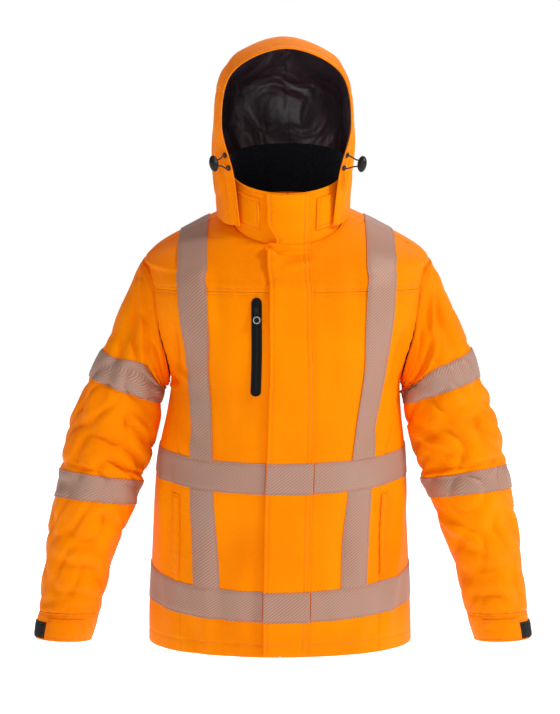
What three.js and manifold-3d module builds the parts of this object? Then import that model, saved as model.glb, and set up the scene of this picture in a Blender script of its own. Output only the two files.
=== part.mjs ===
// A hi-vis work jacket with its hood up, filled out as it is when worn, and hollow.
// Millimetres, +Z up. The front faces -Y, and the wearer's left is at +X.
// The origin is the middle of the neck, level with the tops of the shoulders.
import * as THREE from 'three';
import { mergeVertices } from 'three/addons/utils/BufferGeometryUtils.js';
import Module from 'manifold-3d';

const wasm = await Module();
wasm.setup();

// Driving sizes.
const cloth = 2;             // thickness of the shell's cloth with its padding pressed flat
const lining = 1.2;          // thickness of the hood's lining and the collar's fleece
const seam = 0.3;            // gap between two sewn pieces
const lie = 1.1;             // height of a tape or flap above the panel that carries it
const overShoulder = 3.4;   // height of a tape where it crosses the shoulder seam
const tapeWidth = 50;        // reflective tape
const tapeThick = 0.8;
const flapThick = 2.4;       // storm flap, two layers
const collarHeight = 80;
const waistTapeFoot = -440;  // heights of the tapes' lower edges at the middle front
const hemTapeFoot = -648;
const flapGap = 1.5;         // from the flap's edges to the ends of the round tapes
const collarFoot = 1;        // height of the collar's foot above the neck's edge
const collarFlare = 1.06;    // how much wider the collar is at its top
const boxiness = 0.85;       // below 1 the body's section is squarer than an ellipse
const zipHalf = 0.6;         // half the slit between the two fronts
const cordRadius = 1.2;
const toggleLong = 13;       // half sizes of a hood cord's barrel toggle
const toggleWide = 7.5;
const eyeletOuter = 4.6;
const eyeletInner = 2.3;

// The body's rows from hem to neck. x, y, z is the row's end, at the side seam, then on the
// armhole, then on the shoulder seam. depth and mid are the row at the middle of the body, and
// turn is how far round the row has bent at its end, in degrees.
const ends = [
  { name: 'hem', x: 219.5, z: -714 },
  { name: 'lowTape', x: 215, z: -605 },
  { name: 'hip', x: 210, z: -505 },
  { name: 'waistTape', x: 204.5, z: -403 },
  { name: 'rib', x: 193, z: -330 },
  { name: 'underarm', x: 188, z: -285 },
  { name: 'armholeLow', x: 192, z: -245 },
  { name: 'armholeMid', x: 206, z: -188 },
  { name: 'yoke', x: 214, z: -122 },
  { name: 'armholeTop', x: 222, z: -92 },
  { name: 'shoulderPoint', x: 228, z: -72 },
  { name: 'shoulder', x: 160, z: -32 },
  { name: 'neck', x: 92, z: 0 },
];
const frontShape = [
  { y: 0, depth: 141, mid: -706, turn: 90 },
  { y: 0, depth: 142, mid: -623, turn: 90 },
  { y: 0, depth: 141, mid: -520, turn: 90 },
  { y: 0, depth: 140, mid: -415, turn: 90 },
  { y: 0, depth: 141, mid: -335, turn: 90 },
  { y: 0, depth: 142, mid: -285, turn: 90 },
  { y: -38, depth: 142, mid: -243, turn: 76 },
  { y: -60, depth: 140, mid: -188, turn: 66 },
  { y: -50, depth: 134, mid: -120, turn: 66 },
  { y: -25, depth: 127, mid: -102, turn: 76 },
  { y: 4, depth: 120, mid: -88, turn: 88 },
  { y: 2, depth: 108, mid: -66, turn: 89 },
  { y: -9.5, depth: 99, mid: -49, turn: 90 },
];
const backShape = [
  { y: 0, depth: 134, mid: -724, turn: 90 },
  { y: 0, depth: 133, mid: -620, turn: 90 },
  { y: 0, depth: 130, mid: -515, turn: 90 },
  { y: 0, depth: 127, mid: -412, turn: 90 },
  { y: 0, depth: 129, mid: -335, turn: 90 },
  { y: 0, depth: 134, mid: -285, turn: 90 },
  { y: 42, depth: 138, mid: -238, turn: 76 },
  { y: 66, depth: 141, mid: -178, turn: 66 },
  { y: 58, depth: 138, mid: -106, turn: 66 },
  { y: 34, depth: 130, mid: -66, turn: 76 },
  { y: 4, depth: 118, mid: -36, turn: 88 },
  { y: 2, depth: 100, mid: -2, turn: 89 },
  { y: -9.5, depth: 80, mid: 24, turn: 90 },
];
const bodyRows = {
  front: ends.map((end, k) => ({ ...end, ...frontShape[k] })),
  back: ends.map((end, k) => ({ ...end, ...backShape[k] })),
};
const row = Object.fromEntries(ends.map((end, k) => [end.name, k]));

// The side panel's two seams, as distances from the middle at each row up to the underarm.
const sideSeams = [{ x: 160 }, { x: 162 }, { x: 161 }, { x: 167 }, { x: 179 }, { x: 188 }];
// The storm flap's free edge and sewn edge, at the same rows as the body.
const flapEdges = [
  { free: -27, sewn: 45 }, { free: -26, sewn: 47 }, { free: -25, sewn: 49 }, { free: -24, sewn: 50 },
  { free: -25, sewn: 48 }, { free: -26, sewn: 46 }, { free: -26, sewn: 44 }, { free: -27, sewn: 42 },
  { free: -27, sewn: 41 }, { free: -28, sewn: 39 }, { free: -30, sewn: 38 }, { free: -31, sewn: 37 },
  { free: -30, sewn: 36 },
];
// The upright tapes' middle line and half width, as distances from the middle at the same rows.
const braceLine = [
  { x: 113, half: 21 }, { x: 117, half: 21 }, { x: 122, half: 20.5 }, { x: 128, half: 19 },
  { x: 131, half: 17 }, { x: 136, half: 17 }, { x: 141, half: 18 }, { x: 145, half: 22 },
  { x: 149, half: 23 }, { x: 151, half: 23 }, { x: 150, half: 24 }, { x: 150, half: 24 },
  { x: 150, half: 24 },
];

// A sleeve's rings after the armhole. outX, outZ is the ring's outer point, inX, inZ its inner
// one, mid its middle along Y, and half its half width from front to back.
const sleeveRings = [
  { outX: 240, outZ: -88, inX: 191, inZ: -287, mid: 3, half: 63 },
  { outX: 256, outZ: -120, inX: 192.5, inZ: -288.5, mid: 2, half: 66 },
  { outX: 283, outZ: -180, inX: 193.5, inZ: -290.5, mid: 0, half: 70 },
  { outX: 302, outZ: -223, inX: 194.5, inZ: -294, mid: -2, half: 72 },
  { outX: 322, outZ: -270, inX: 197.5, inZ: -316, mid: -4, half: 73 },
  { outX: 341, outZ: -316, inX: 204, inZ: -356, mid: -6, half: 73 },
  { outX: 357, outZ: -358, inX: 215, inZ: -397, mid: -9, half: 72 },
  { outX: 366, outZ: -400, inX: 226, inZ: -430, mid: -12, half: 71 },
  { outX: 370.5, outZ: -424, inX: 229, inZ: -445, mid: -14, half: 70 },
  { outX: 378, outZ: -470, inX: 243, inZ: -484, mid: -18, half: 68 },
  { outX: 388, outZ: -517, inX: 262, inZ: -526, mid: -22, half: 64 },
  { outX: 394, outZ: -564, inX: 280, inZ: -572, mid: -26, half: 59 },
  { outX: 400, outZ: -617, inX: 293, inZ: -624, mid: -29, half: 54 },
  { outX: 405.5, outZ: -658, inX: 303, inZ: -662, mid: -31, half: 51 },
  { outX: 411, outZ: -704, inX: 318, inZ: -709, mid: -33, half: 49 },
];
const forearmTilt = 0.17;    // how far the rings from the elbow down tip up at the front
const cuffSeam = 14;
const cuffEnd = 15;
const upperTapeRing = 4;     // each sleeve tape reaches from this ring to the next
const lowerTapeRing = 9;

// The hood's arches from the back to the face, each through five points from its foot beside
// the collar to its top. x is the distance from the middle.
const hoodArches = [
  [{ x: 98, y: 12, z: 4 }, { x: 105, y: 34, z: 40 }, { x: 101, y: 66, z: 72 },
    { x: 64, y: 104, z: 92 }, { x: 0, y: 119, z: 98 }],
  [{ x: 107, y: -15, z: -5 }, { x: 111, y: 8, z: 60 }, { x: 110, y: 44, z: 128 },
    { x: 82, y: 100, z: 182 }, { x: 0, y: 126, z: 194 }],
  [{ x: 101, y: -48, z: -12 }, { x: 109, y: -38, z: 60 }, { x: 112, y: -16, z: 142 },
    { x: 88, y: 32, z: 232 }, { x: 0, y: 56, z: 265 }],
  [{ x: 90, y: -68, z: -18 }, { x: 100, y: -66, z: 60 }, { x: 110, y: -56, z: 146 },
    { x: 90, y: -34, z: 236 }, { x: 0, y: -24, z: 277 }],
  [{ x: 74, y: -80, z: -20 }, { x: 84, y: -82, z: 60 }, { x: 103, y: -86, z: 140 },
    { x: 84, y: -92, z: 221 }, { x: 0, y: -94, z: 257 }],
];
const faceArch = hoodArches.length;
const napeTurn = 65;         // the hood is sewn to the collar this far round from the middle back
const napeRise = 0.06;
const hoodColumns = 13;      // columns of cells on half an arch
const hoodLines = 10;        // cross lines of cells from nape to face
const crownColumns = 5;      // of those, the ones on half of the crown panel

// The largest folds. Body folds run from x1, z1 to x2, z2, seen from the front or the back.
const bodyFolds = {
  front: [
    { x1: -196, z1: -160, x2: -150, z2: -250, deep: 5, wide: 15 },
    { x1: 200, z1: -165, x2: 158, z2: -262, deep: 5, wide: 15 },
    { x1: -178, z1: -330, x2: -150, z2: -560, deep: 4, wide: 20 },
    { x1: 182, z1: -330, x2: 158, z2: -600, deep: 4, wide: 20 },
    { x1: -80, z1: -470, x2: -70, z2: -590, deep: 3, wide: 22 },
    { x1: 84, z1: -470, x2: 96, z2: -600, deep: 3, wide: 24 },
  ],
  back: [
    { x1: -190, z1: -170, x2: -120, z2: -300, deep: 6, wide: 18 },
    { x1: 190, z1: -170, x2: 122, z2: -310, deep: 6, wide: 18 },
    { x1: -60, z1: -440, x2: -84, z2: -600, deep: 5, wide: 26 },
    { x1: 70, z1: -430, x2: 88, z2: -600, deep: 5, wide: 26 },
  ],
};
// Sleeve folds run between two places, each a ring number and an angle from the sleeve's outer
// line, positive to the front.
const sleeveFolds = [
  { ring1: 1, turn1: 48, ring2: 6, turn2: 66, deep: 8, wide: 13 },
  { ring1: 4.5, turn1: 70, ring2: 5.6, turn2: 150, deep: 7, wide: 12 },
  { ring1: 7.2, turn1: 80, ring2: 8.2, turn2: 170, deep: 6, wide: 12 },
  { ring1: 9.2, turn1: 60, ring2: 8.8, turn2: 160, deep: 5, wide: 11 },
  { ring1: 10.6, turn1: 20, ring2: 11.4, turn2: 120, deep: 4, wide: 12 },
  { ring1: 12.2, turn1: 70, ring2: 12.6, turn2: 170, deep: 4, wide: 11 },
  { ring1: 7, turn1: -60, ring2: 8, turn2: -170, deep: 7, wide: 14 },
  { ring1: 8.6, turn1: -40, ring2: 9, turn2: -150, deep: 6, wide: 12 },
  { ring1: 3, turn1: -80, ring2: 5, turn2: -160, deep: 7, wide: 14 },
];

// The chest zip on the wearer's right, in the front's own x and height.
const chestZip = { left: -55.5, right: -39, top: -128, foot: -283, thick: 1 };
const slider = { height: -148, wide: 7.5, long: 10, thick: 1.6, bridgeWide: 2.6, bridgeThick: 0.9 };
const pull = { disc: 7.3, drop: 15, thick: 1.4, pinRadius: 0.9, eye: 2.1, arm: 1.5, hole: 1.9 };

// The hand pockets' welts, beside the side panels' seams.
const welt = { top: -455, foot: -590, wide: 14, thick: 2 };

// The hood's cord on each side: the heights of its two eyelets, how far from the face's edge
// they sit, and where its toggle hangs.
const hoodCord = { upper: 91, lower: 71, inset: 0.05, reach: { right: 22, left: 28 } };

// Colours and finishes, as the cloth shows them.
const finishes = {
  shell: { color: 0xf58a00, roughness: 0.72, metalness: 0 },
  tape: { color: 0xae8070, roughness: 0.45, metalness: 0 },
  fleece: { color: 0x1b1b20, roughness: 0.95, metalness: 0 },
  hoodLining: { color: 0x2c242a, roughness: 0.4, metalness: 0 },
  trim: { color: 0x141414, roughness: 0.5, metalness: 0 },
  hookTape: { color: 0x101010, roughness: 0.95, metalness: 0 },
};

const radians = Math.PI / 180;
const mix = (a, b, t) => a + (b - a) * t;
const clamp = (t) => Math.min(1, Math.max(0, t));
const smooth = (t) => clamp(t) ** 2 * (3 - 2 * clamp(t));
const jacket = new THREE.Group();

function addTo(group, name, geometry, finish) {
  const mesh = new THREE.Mesh(geometry, new THREE.MeshStandardMaterial(finishes[finish]));
  mesh.name = name;
  group.add(mesh);
}

const add = (name, geometry, finish) => addTo(jacket, name, geometry, finish);

// The geometry with its equal points made one.
function merged(geometry) {
  geometry.deleteAttribute('normal');
  geometry.deleteAttribute('uv');
  return mergeVertices(geometry, 1e-4);
}

function solid(geometry) {
  const { attributes, index } = merged(geometry);
  return new wasm.Manifold(new wasm.Mesh({
    numProp: 3, vertProperties: new Float32Array(attributes.position.array), triVerts: new Uint32Array(index.array),
  }));
}

function geometryOf(shape) {
  const { vertProperties, triVerts, numProp } = shape.getMesh();
  const geometry = new THREE.BufferGeometry();
  const points = [];
  for (let k = 0; k < vertProperties.length; k += numProp) points.push(...vertProperties.slice(k, k + 3));
  geometry.setAttribute('position', new THREE.Float32BufferAttribute(points, 3));
  geometry.setIndex([...triVerts]);
  return geometry;
}

const joined = (parts) => geometryOf(parts.map(solid).reduce((a, b) => a.add(b)));

function box(x, y, z, atX, atY, atZ) {
  return new THREE.BoxGeometry(x, y, z).translate(atX, atY, atZ);
}

// A smooth curve through four neighbouring values, at the share t between the middle two.
function through(a, b, c, d, t) {
  return 0.5 * (2 * b + (c - a) * t + (2 * a - 5 * b + 4 * c - d) * t * t
    + (3 * b - a - 3 * c + d) * t ** 3);
}

// A column of a table at the place t, counted in rows. Past its ends the table runs on straight.
function along(rows, key, t) {
  const k = Math.min(rows.length - 2, Math.max(0, Math.floor(t)));
  const b = rows[k][key];
  const c = rows[k + 1][key];
  const a = k > 0 ? rows[k - 1][key] : 2 * b - c;
  const d = k + 2 < rows.length ? rows[k + 2][key] : 2 * c - b;
  return through(a, b, c, d, t - k);
}

// A curve through a list of points, at the place t.
function alongPoints(points, t) {
  return new THREE.Vector3(along(points, 'x', t), along(points, 'y', t), along(points, 'z', t));
}

// How far a soft trough from one place to another sinks the cloth at the place p, q. Its section
// is a bell, and it fades to nothing at both ends.
function trough(p, q, p1, q1, p2, q2, deep, wide) {
  const run = Math.hypot(p2 - p1, q2 - q1);
  const t = ((p - p1) * (p2 - p1) + (q - q1) * (q2 - q1)) / run ** 2;
  const off = ((p - p1) * (q2 - q1) - (q - q1) * (p2 - p1)) / run;
  const fade = Math.sin(Math.PI * clamp((t + 0.15) / 1.3)) ** 2;
  return deep * fade * Math.exp(-((off / wide) ** 2));
}

// The jacket leans a little: its shoulders sit to +X of its hem.
const bodyLean = (z) => 6 - 11 * smooth((-200 - z) / 300);
const sleeveLean = (z) => 6 - 6 * smooth((-200 - z) / 160);

// The Y of a row's end. Front and back meet at the side seam and along the shoulder seam.
function endY(rows, level) {
  if (level <= row.underarm) return rows[row.underarm].y;
  if (level < row.shoulderPoint) return along(rows, 'y', level);
  const k = Math.min(row.shoulder, Math.floor(level));
  return mix(rows[k].y, rows[k + 1].y, level - k);
}

// The body's outer face. across runs from -1 at the right end of a row, seen on the wearer, to
// +1 at its left end, and level is the row. Each row is an arc squared off by boxiness.
function body(half, across, level) {
  const rows = bodyRows[half];
  const turn = along(rows, 'turn', level) * radians;
  const angle = Math.abs(across) * turn;
  const share = Math.max(0, (Math.cos(angle) - Math.cos(turn)) / (1 - Math.cos(turn)));
  const inward = share ** boxiness;
  const side = half === 'front' ? -1 : 1;
  const x = Math.sign(across) * along(rows, 'x', level) * Math.sin(angle) / Math.sin(turn);
  const y = mix(endY(rows, level), side * along(rows, 'depth', level), inward);
  const z = mix(along(rows, 'z', level), along(rows, 'mid', level), inward);
  let sink = 0;
  for (const f of bodyFolds[half]) sink += trough(x, z, f.x1, f.z1, f.x2, f.z2, f.deep, f.wide);
  const reach = Math.hypot(x / 2, y) || 1;
  return new THREE.Vector3(x - sink * x / 2 / reach + bodyLean(z), y - sink * y / reach, z);
}

// The share of a row's arc at which it is x from the middle.
function acrossAt(half, x, level) {
  const turn = along(bodyRows[half], 'turn', level) * radians;
  const end = along(bodyRows[half], 'x', level);
  return Math.asin(Math.min(1, Math.abs(x) * Math.sin(turn) / end)) / turn * Math.sign(x);
}

// The row whose middle is at the height z.
function levelAt(half, z) {
  let low = 0;
  let high = row.neck;
  for (let k = 0; k < 40; k += 1) {
    const mid = (low + high) / 2;
    if (along(bodyRows[half], 'mid', mid) < z) low = mid;
    else high = mid;
  }
  return low;
}

// The armhole's edge at an angle from the shoulder point, positive round the front.
function armhole(side, angle) {
  const turn = ((angle + 540) % 360) - 180;
  const level = mix(row.shoulderPoint, row.underarm, Math.abs(turn) / 180);
  return body(turn >= 0 ? 'front' : 'back', side, level);
}

// A ring of a sleeve: the armhole's edge, then ellipses between the outer and inner points.
function sleeveRing(side, k, angle) {
  if (k === 0) {
    const edge = armhole(side, angle);
    edge.x += side * 0.6;
    return edge;
  }
  const ring = sleeveRings[k - 1];
  const c = Math.cos(angle * radians);
  const x = mix(ring.inX, ring.outX, (1 + c) / 2);
  const z = mix(ring.inZ, ring.outZ, (1 + c) / 2);
  const forward = ring.half * Math.sin(angle * radians);
  const tipped = z + forearmTilt * smooth((k - 3) / 4) * forward;
  return new THREE.Vector3(side * x + sleeveLean(z), ring.mid - forward, tipped);
}

// A sleeve's outer face, through its rings, with its folds sunk towards the ring's middle.
function sleeve(side, angle, place) {
  const rings = [];
  for (let k = 0; k <= sleeveRings.length; k += 1) rings.push(sleeveRing(side, k, angle));
  const point = alongPoints(rings, place);
  const near = sleeveRings[Math.min(sleeveRings.length - 1, Math.max(0, Math.round(place) - 1))];
  const middle = new THREE.Vector3(side * (near.outX + near.inX) / 2, near.mid, (near.outZ + near.inZ) / 2);
  let sink = 0;
  const turn = ((angle + 540) % 360) - 180;
  const ringStep = 45;
  for (const f of sleeveFolds) {
    sink += trough(turn * 1.2, place * ringStep, f.turn1 * 1.2, f.ring1 * ringStep,
      f.turn2 * 1.2, f.ring2 * ringStep, f.deep, f.wide);
  }
  sink *= smooth(place - 0.3) * smooth((cuffEnd - place) / 2);
  return point.add(middle.sub(point).normalize().multiplyScalar(sink));
}

// The collar's outer face: it stands on the neck's edge and leans back at the front. turn is in
// degrees from the middle front, and rise is a share of the collar's height.
function collar(turn, rise) {
  const round = ((turn + 540) % 360) - 180;
  const front = Math.abs(round) <= 90;
  const across = front ? round / 90 : Math.sign(round) * (180 - Math.abs(round)) / 90;
  const foot = body(front ? 'front' : 'back', across, row.neck);
  foot.x = mix(foot.x, foot.x * collarFlare, rise);
  foot.y += 9 * rise * Math.max(0, Math.cos(round * radians));
  foot.z += collarFoot + collarHeight * rise;
  return foot;
}

// The direction out of a surface at a place, from two short steps on it.
function outOf(at, u, v, step = 1e-3) {
  const du = at(u + step, v).sub(at(u - step, v));
  const dv = at(u, v + step).sub(at(u, v - step));
  return du.cross(dv).normalize();
}

// The hood's outer face. across runs from -1 to 1 over an arch, and back is 1 at the nape and 0
// at the face. The foot of the last arch follows the collar.
function hood(across, back) {
  const place = (1 - back) * faceArch;
  const side = Math.sign(across) || 1;
  const climb = (1 - Math.abs(across)) * (hoodArches[0].length - 1);
  const turn = 180 - across * napeTurn;
  const nape = collar(turn, napeRise).add(outOf(collar, turn, napeRise).multiplyScalar(cloth + 0.8));
  nape.x -= bodyLean(nape.z);
  const arches = [nape];
  for (const arch of hoodArches) {
    const mirrored = [...arch, { ...arch[arch.length - 2], x: -arch[arch.length - 2].x }];
    const point = alongPoints(mirrored, climb);
    point.x *= side;
    arches.push(point);
  }
  const point = alongPoints(arches, place);
  point.x += 6 * (1 - smooth(place / 2)) + 5 * smooth((place - 3.5) / 1.5);
  return point;
}

const evenly = (a, b, n) => Array.from({ length: n + 1 }, (_, k) => mix(a, b, k / n));

// A closed wall on a surface. Its faces lie `from` and `to` outside the surface. u may depend on
// v, trim draws in its four edges by lengths, and a round wall joins its own ends along u.
function wall({ at, u, v, cells, from, to, trim = [0, 0, 0, 0], round = false }) {
  const lines = typeof cells[1] === 'number' ? evenly(v[0], v[1], cells[1]) : cells[1];
  const nu = cells[0];
  const nv = lines.length - 1;
  const columns = round ? nu : nu + 1;
  const near = [];
  const far = [];
  const spanU = typeof u === 'function' ? u : () => u;
  const shift = (a, b, length, size) => length * (b > a ? 1 : -1) / size;
  for (let j = 0; j <= nv; j += 1) {
    for (let i = 0; i < columns; i += 1) {
      let vv = lines[j];
      const [u0, u1] = spanU(vv);
      let uu = mix(u0, u1, i / nu);
      const stepU = Math.abs(u1 - u0) * 1e-3 || 1e-3;
      const stepV = Math.abs(v[1] - v[0]) * 1e-3;
      const sizeU = at(uu + stepU, vv).distanceTo(at(uu - stepU, vv)) / (2 * stepU);
      const sizeV = at(uu, vv + stepV).distanceTo(at(uu, vv - stepV)) / (2 * stepV);
      if (i === 0) uu += shift(u0, u1, trim[0], sizeU);
      if (i === nu) uu -= shift(u0, u1, trim[1], sizeU);
      if (j === 0) vv += shift(v[0], v[1], trim[2], sizeV);
      if (j === nv) vv -= shift(v[0], v[1], trim[3], sizeV);
      const point = at(uu, vv);
      const du = at(uu + stepU, vv).sub(at(uu - stepU, vv));
      const dv = at(uu, vv + stepV).sub(at(uu, vv - stepV));
      const out = du.cross(dv).normalize();
      near.push(point.clone().addScaledVector(out, from));
      far.push(point.clone().addScaledVector(out, to));
    }
  }
  return shellOf(near, far, columns, nu, nv, round);
}

// Joins two grids of points into one closed shell with rims.
function shellOf(near, far, columns, nu, nv, round) {
  const index = [];
  const count = near.length;
  const id = (layer, i, j) => layer * count + j * columns + (round ? i % nu : i);
  const quad = (a, b, c, d) => index.push(a, b, c, a, c, d);
  for (let j = 0; j < nv; j += 1) {
    for (let i = 0; i < nu; i += 1) {
      quad(id(1, i, j), id(1, i + 1, j), id(1, i + 1, j + 1), id(1, i, j + 1));
      quad(id(0, i, j), id(0, i, j + 1), id(0, i + 1, j + 1), id(0, i + 1, j));
    }
    if (!round) {
      quad(id(0, 0, j), id(1, 0, j), id(1, 0, j + 1), id(0, 0, j + 1));
      quad(id(0, nu, j), id(0, nu, j + 1), id(1, nu, j + 1), id(1, nu, j));
    }
  }
  for (let i = 0; i < nu; i += 1) {
    quad(id(0, i, 0), id(0, i + 1, 0), id(1, i + 1, 0), id(1, i, 0));
    quad(id(0, i, nv), id(1, i, nv), id(1, i + 1, nv), id(0, i + 1, nv));
  }
  const geometry = new THREE.BufferGeometry();
  const points = [...near, ...far].flatMap((p) => [p.x, p.y, p.z]);
  geometry.setAttribute('position', new THREE.Float32BufferAttribute(points, 3));
  geometry.setIndex(index);
  return geometry;
}

const frontAt = (across, level) => body('front', across, level);
const backAt = (across, level) => body('back', -across, level);
const rowStep = 0.5;         // every panel of the body has its cross lines at these steps
const rowsOf = (a, b) => evenly(a, b, Math.round((b - a) / rowStep));
const seamEnd = row.underarm - rowStep;
const sidePanelTop = row.underarm - 0.15;

// The share of a row's arc at which the side panel starts. It runs out at the underarm.
function seamAt(half, level) {
  const low = Math.min(level, seamEnd);
  const share = acrossAt(half, along(sideSeams, 'x', low), low);
  return mix(share, 1, clamp((level - seamEnd) / rowStep));
}
const sides = [['right', -1], ['left', 1]];
const waistTapeLow = levelAt('front', waistTapeFoot);
const waistTapeTop = levelAt('front', waistTapeFoot + tapeWidth);
const hemTapeTop = levelAt('front', hemTapeFoot + tapeWidth);

const pastSide = (top) => [...rowsOf(0, seamEnd), sidePanelTop, ...rowsOf(row.underarm, top)];

// The fronts run from the slit to the side panel, then to the armhole.
function makeFronts() {
  for (const [name, side] of sides) {
    const outer = (level) => seamAt('front', level);
    const span = (level) => {
      const inner = acrossAt('front', zipHalf, level);
      return side > 0 ? [inner, outer(level)] : [-outer(level), -inner];
    };
    add(`front_${name}`, wall({
      at: frontAt, u: span, v: [0, row.yoke], cells: [8, pastSide(row.yoke)], from: -cloth, to: 0,
      trim: [seam / 2, seam / 2, 0, seam / 2],
    }), 'shell');
    const yokeSpan = (level) => {
      const inner = acrossAt('front', zipHalf, level);
      return side > 0 ? [inner, 1] : [-1, -inner];
    };
    add(`yoke_${name}`, wall({
      at: frontAt, u: yokeSpan, v: [row.yoke, row.neck], cells: [8, rowsOf(row.yoke, row.neck)],
      from: -cloth, to: 0,
      trim: [seam / 2, seam / 2, seam / 2, seam],
    }), 'shell');
  }
  add('front_zip', wall({
    at: frontAt, u: (level) => [acrossAt('front', -12, level), acrossAt('front', 12, level)],
    v: [0, row.neck], cells: [2, [0.05, ...rowsOf(rowStep, row.neck - rowStep), row.neck - 0.1]],
    from: -cloth - 2, to: -cloth - 0.7,
  }), 'trim');
}

// The side panels wrap from the front to the back and taper up to the underarm.
function makeSides() {
  const top = sidePanelTop;
  const lines = [...rowsOf(0, seamEnd), top];
  for (const [name, side] of sides) {
    const at = (turn, level) => {
      const u = side * turn;
      const half = u <= 0 ? 'front' : 'back';
      return body(half, side * (1 - Math.abs(u) * (1 - seamAt(half, level))), level);
    };
    add(`side_${name}`, wall({
      at, u: [-1, 1], v: [0, top], cells: [6, lines], from: -cloth, to: 0,
      trim: [seam / 2, seam / 2, 0, 0],
    }), 'shell');
  }
}

// The back is one piece from hem to neck, with the shoulder seams along its top.
function makeBack() {
  const outer = (level) => seamAt('back', level);
  add('back', wall({
    at: backAt, u: (level) => [-outer(level), outer(level)], v: [0, row.neck], cells: [16, pastSide(row.neck)],
    from: -cloth, to: 0, trim: [seam / 2, seam / 2, 0, seam],
  }), 'shell');
}

const sleeveLines = [0, 1, 2, 3, 4, 5, 5.5, 6, 6.5, 7, 7.5, 8, 8.5, 9, 10, 11, 12, 13, 14];

// Each sleeve is one tube from the armhole to the cuff seam, then the cuff.
function makeSleeves() {
  for (const [name, side] of sides) {
    const at = (turn, place) => sleeve(side, side * turn, place);
    add(`sleeve_${name}`, wall({
      at, u: [0, 360], v: [0, cuffSeam], cells: [20, sleeveLines], from: -cloth, to: 0, round: true,
      trim: [0, 0, 0, seam / 2],
    }), 'shell');
    add(`cuff_${name}`, wall({
      at, u: [0, 360], v: [cuffSeam, cuffEnd], cells: [20, 2], from: -cloth, to: 0, round: true,
      trim: [0, 0, seam / 2, 0],
    }), 'shell');
    const span = (a, b) => (side > 0 ? [a, b] : [-b, -a]);
    add(`cuff_tab_${name}`, wall({
      at, u: span(56, 128), v: [14.2, 14.93], cells: [4, 1], from: lie, to: lie + 2,
    }), 'shell');
    add(`cuff_hook_tape_${name}`, wall({
      at, u: span(-14, 54), v: [14.36, 14.93], cells: [4, 1], from: lie, to: lie + 1.4,
    }), 'hookTape');
  }
}

// The collar and its fleece, slit at the middle front.
function makeCollar() {
  const slit = 0.4;
  add('collar', wall({
    at: collar, u: [slit, 360 - slit], v: [0, 1], cells: [32, 2], from: -cloth, to: 0,
  }), 'shell');
  add('collar_fleece', wall({
    at: collar, u: [slit, 360 - slit], v: [0.03, 0.99], cells: [32, 2],
    from: -cloth - 0.6 - lining, to: -cloth - 0.6,
  }), 'fleece');
}

// The hood is two side panels and a crown, with a lining in one piece.
function makeHood() {
  const crown = crownColumns / hoodColumns;
  const inset = 1 / hoodColumns;
  const panels = [
    ['hood_right', [-1, -crown], hoodColumns - crownColumns],
    ['hood_crown', [-crown, crown], 2 * crownColumns],
    ['hood_left', [crown, 1], hoodColumns - crownColumns],
  ];
  for (const [name, span, columns] of panels) {
    add(name, wall({
      at: hood, u: span, v: [0, 1], cells: [columns, hoodLines], from: -cloth, to: 0,
      trim: [name === 'hood_right' ? 0 : seam / 2, name === 'hood_left' ? 0 : seam / 2, 0, 0],
    }), 'shell');
  }
  add('hood_lining', wall({
    at: hood, u: [inset - 1, 1 - inset], v: [1 / hoodLines, 1 - 1 / hoodLines],
    cells: [2 * hoodColumns - 2, hoodLines - 2], from: -cloth - seam - lining, to: -cloth - seam,
  }), 'hoodLining');
}

// The front at x from the middle: the body up to the neck, then the collar.
function fore(x, level) {
  if (level <= row.neck) return body('front', acrossAt('front', x, level), level);
  return collar(Math.asin(x / ends[row.neck].x) / radians, level - row.neck);
}

// The storm flap runs from the hem to the collar's top.
function makeFlap() {
  const edges = (level) => {
    const at = Math.min(level, row.neck);
    return [along(flapEdges, 'free', at), along(flapEdges, 'sewn', at)];
  };
  const lines = [0.04, ...rowsOf(rowStep, row.neck), row.neck + 0.33, row.neck + 0.66, row.neck + 0.97];
  add('storm_flap', wall({
    at: fore, u: edges, v: [0, row.neck + 1], cells: [3, lines], from: lie, to: lie + flapThick,
  }), 'shell');
  const above = lie + flapThick + 0.4;
  for (const [name, low] of [['waist', waistTapeFoot], ['hem', hemTapeFoot]]) {
    add(`tape_${name}_flap`, wall({
      at: fore, u: (level) => edges(level).map((x, k) => x + (k === 0 ? 0.5 : -0.5)),
      v: [levelAt('front', low), levelAt('front', low + tapeWidth)], cells: [3, 1],
      from: above, to: above + tapeThick,
    }), 'tape');
  }
}

// The waist and hem tapes run from the flap's sewn edge round the back to its free edge.
function makeRoundTapes() {
  for (const [name, low] of [['waist', waistTapeFoot], ['hem', hemTapeFoot]]) {
    const at = (u, level) => {
      const sewn = acrossAt('front', along(flapEdges, 'sewn', level) + flapGap, level);
      const free = acrossAt('front', along(flapEdges, 'free', level) - flapGap, level);
      if (u < 1) return body('front', mix(sewn, 1, u), level);
      if (u < 3) return body('back', 2 - u, level);
      return body('front', mix(-1, free, u - 3), level);
    };
    add(`tape_${name}`, wall({
      at, u: [0, 4], v: [levelAt('front', low), levelAt('front', low + tapeWidth)], cells: [56, 1],
      from: lie, to: lie + tapeThick,
    }), 'tape');
  }
}

// The row at which the shoulder seam is x from the middle.
function shoulderLevel(x) {
  let low = row.shoulderPoint;
  let high = row.neck;
  for (let k = 0; k < 40; k += 1) {
    const mid = (low + high) / 2;
    if (along(ends, 'x', mid) > x) low = mid;
    else high = mid;
  }
  return low;
}

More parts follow.
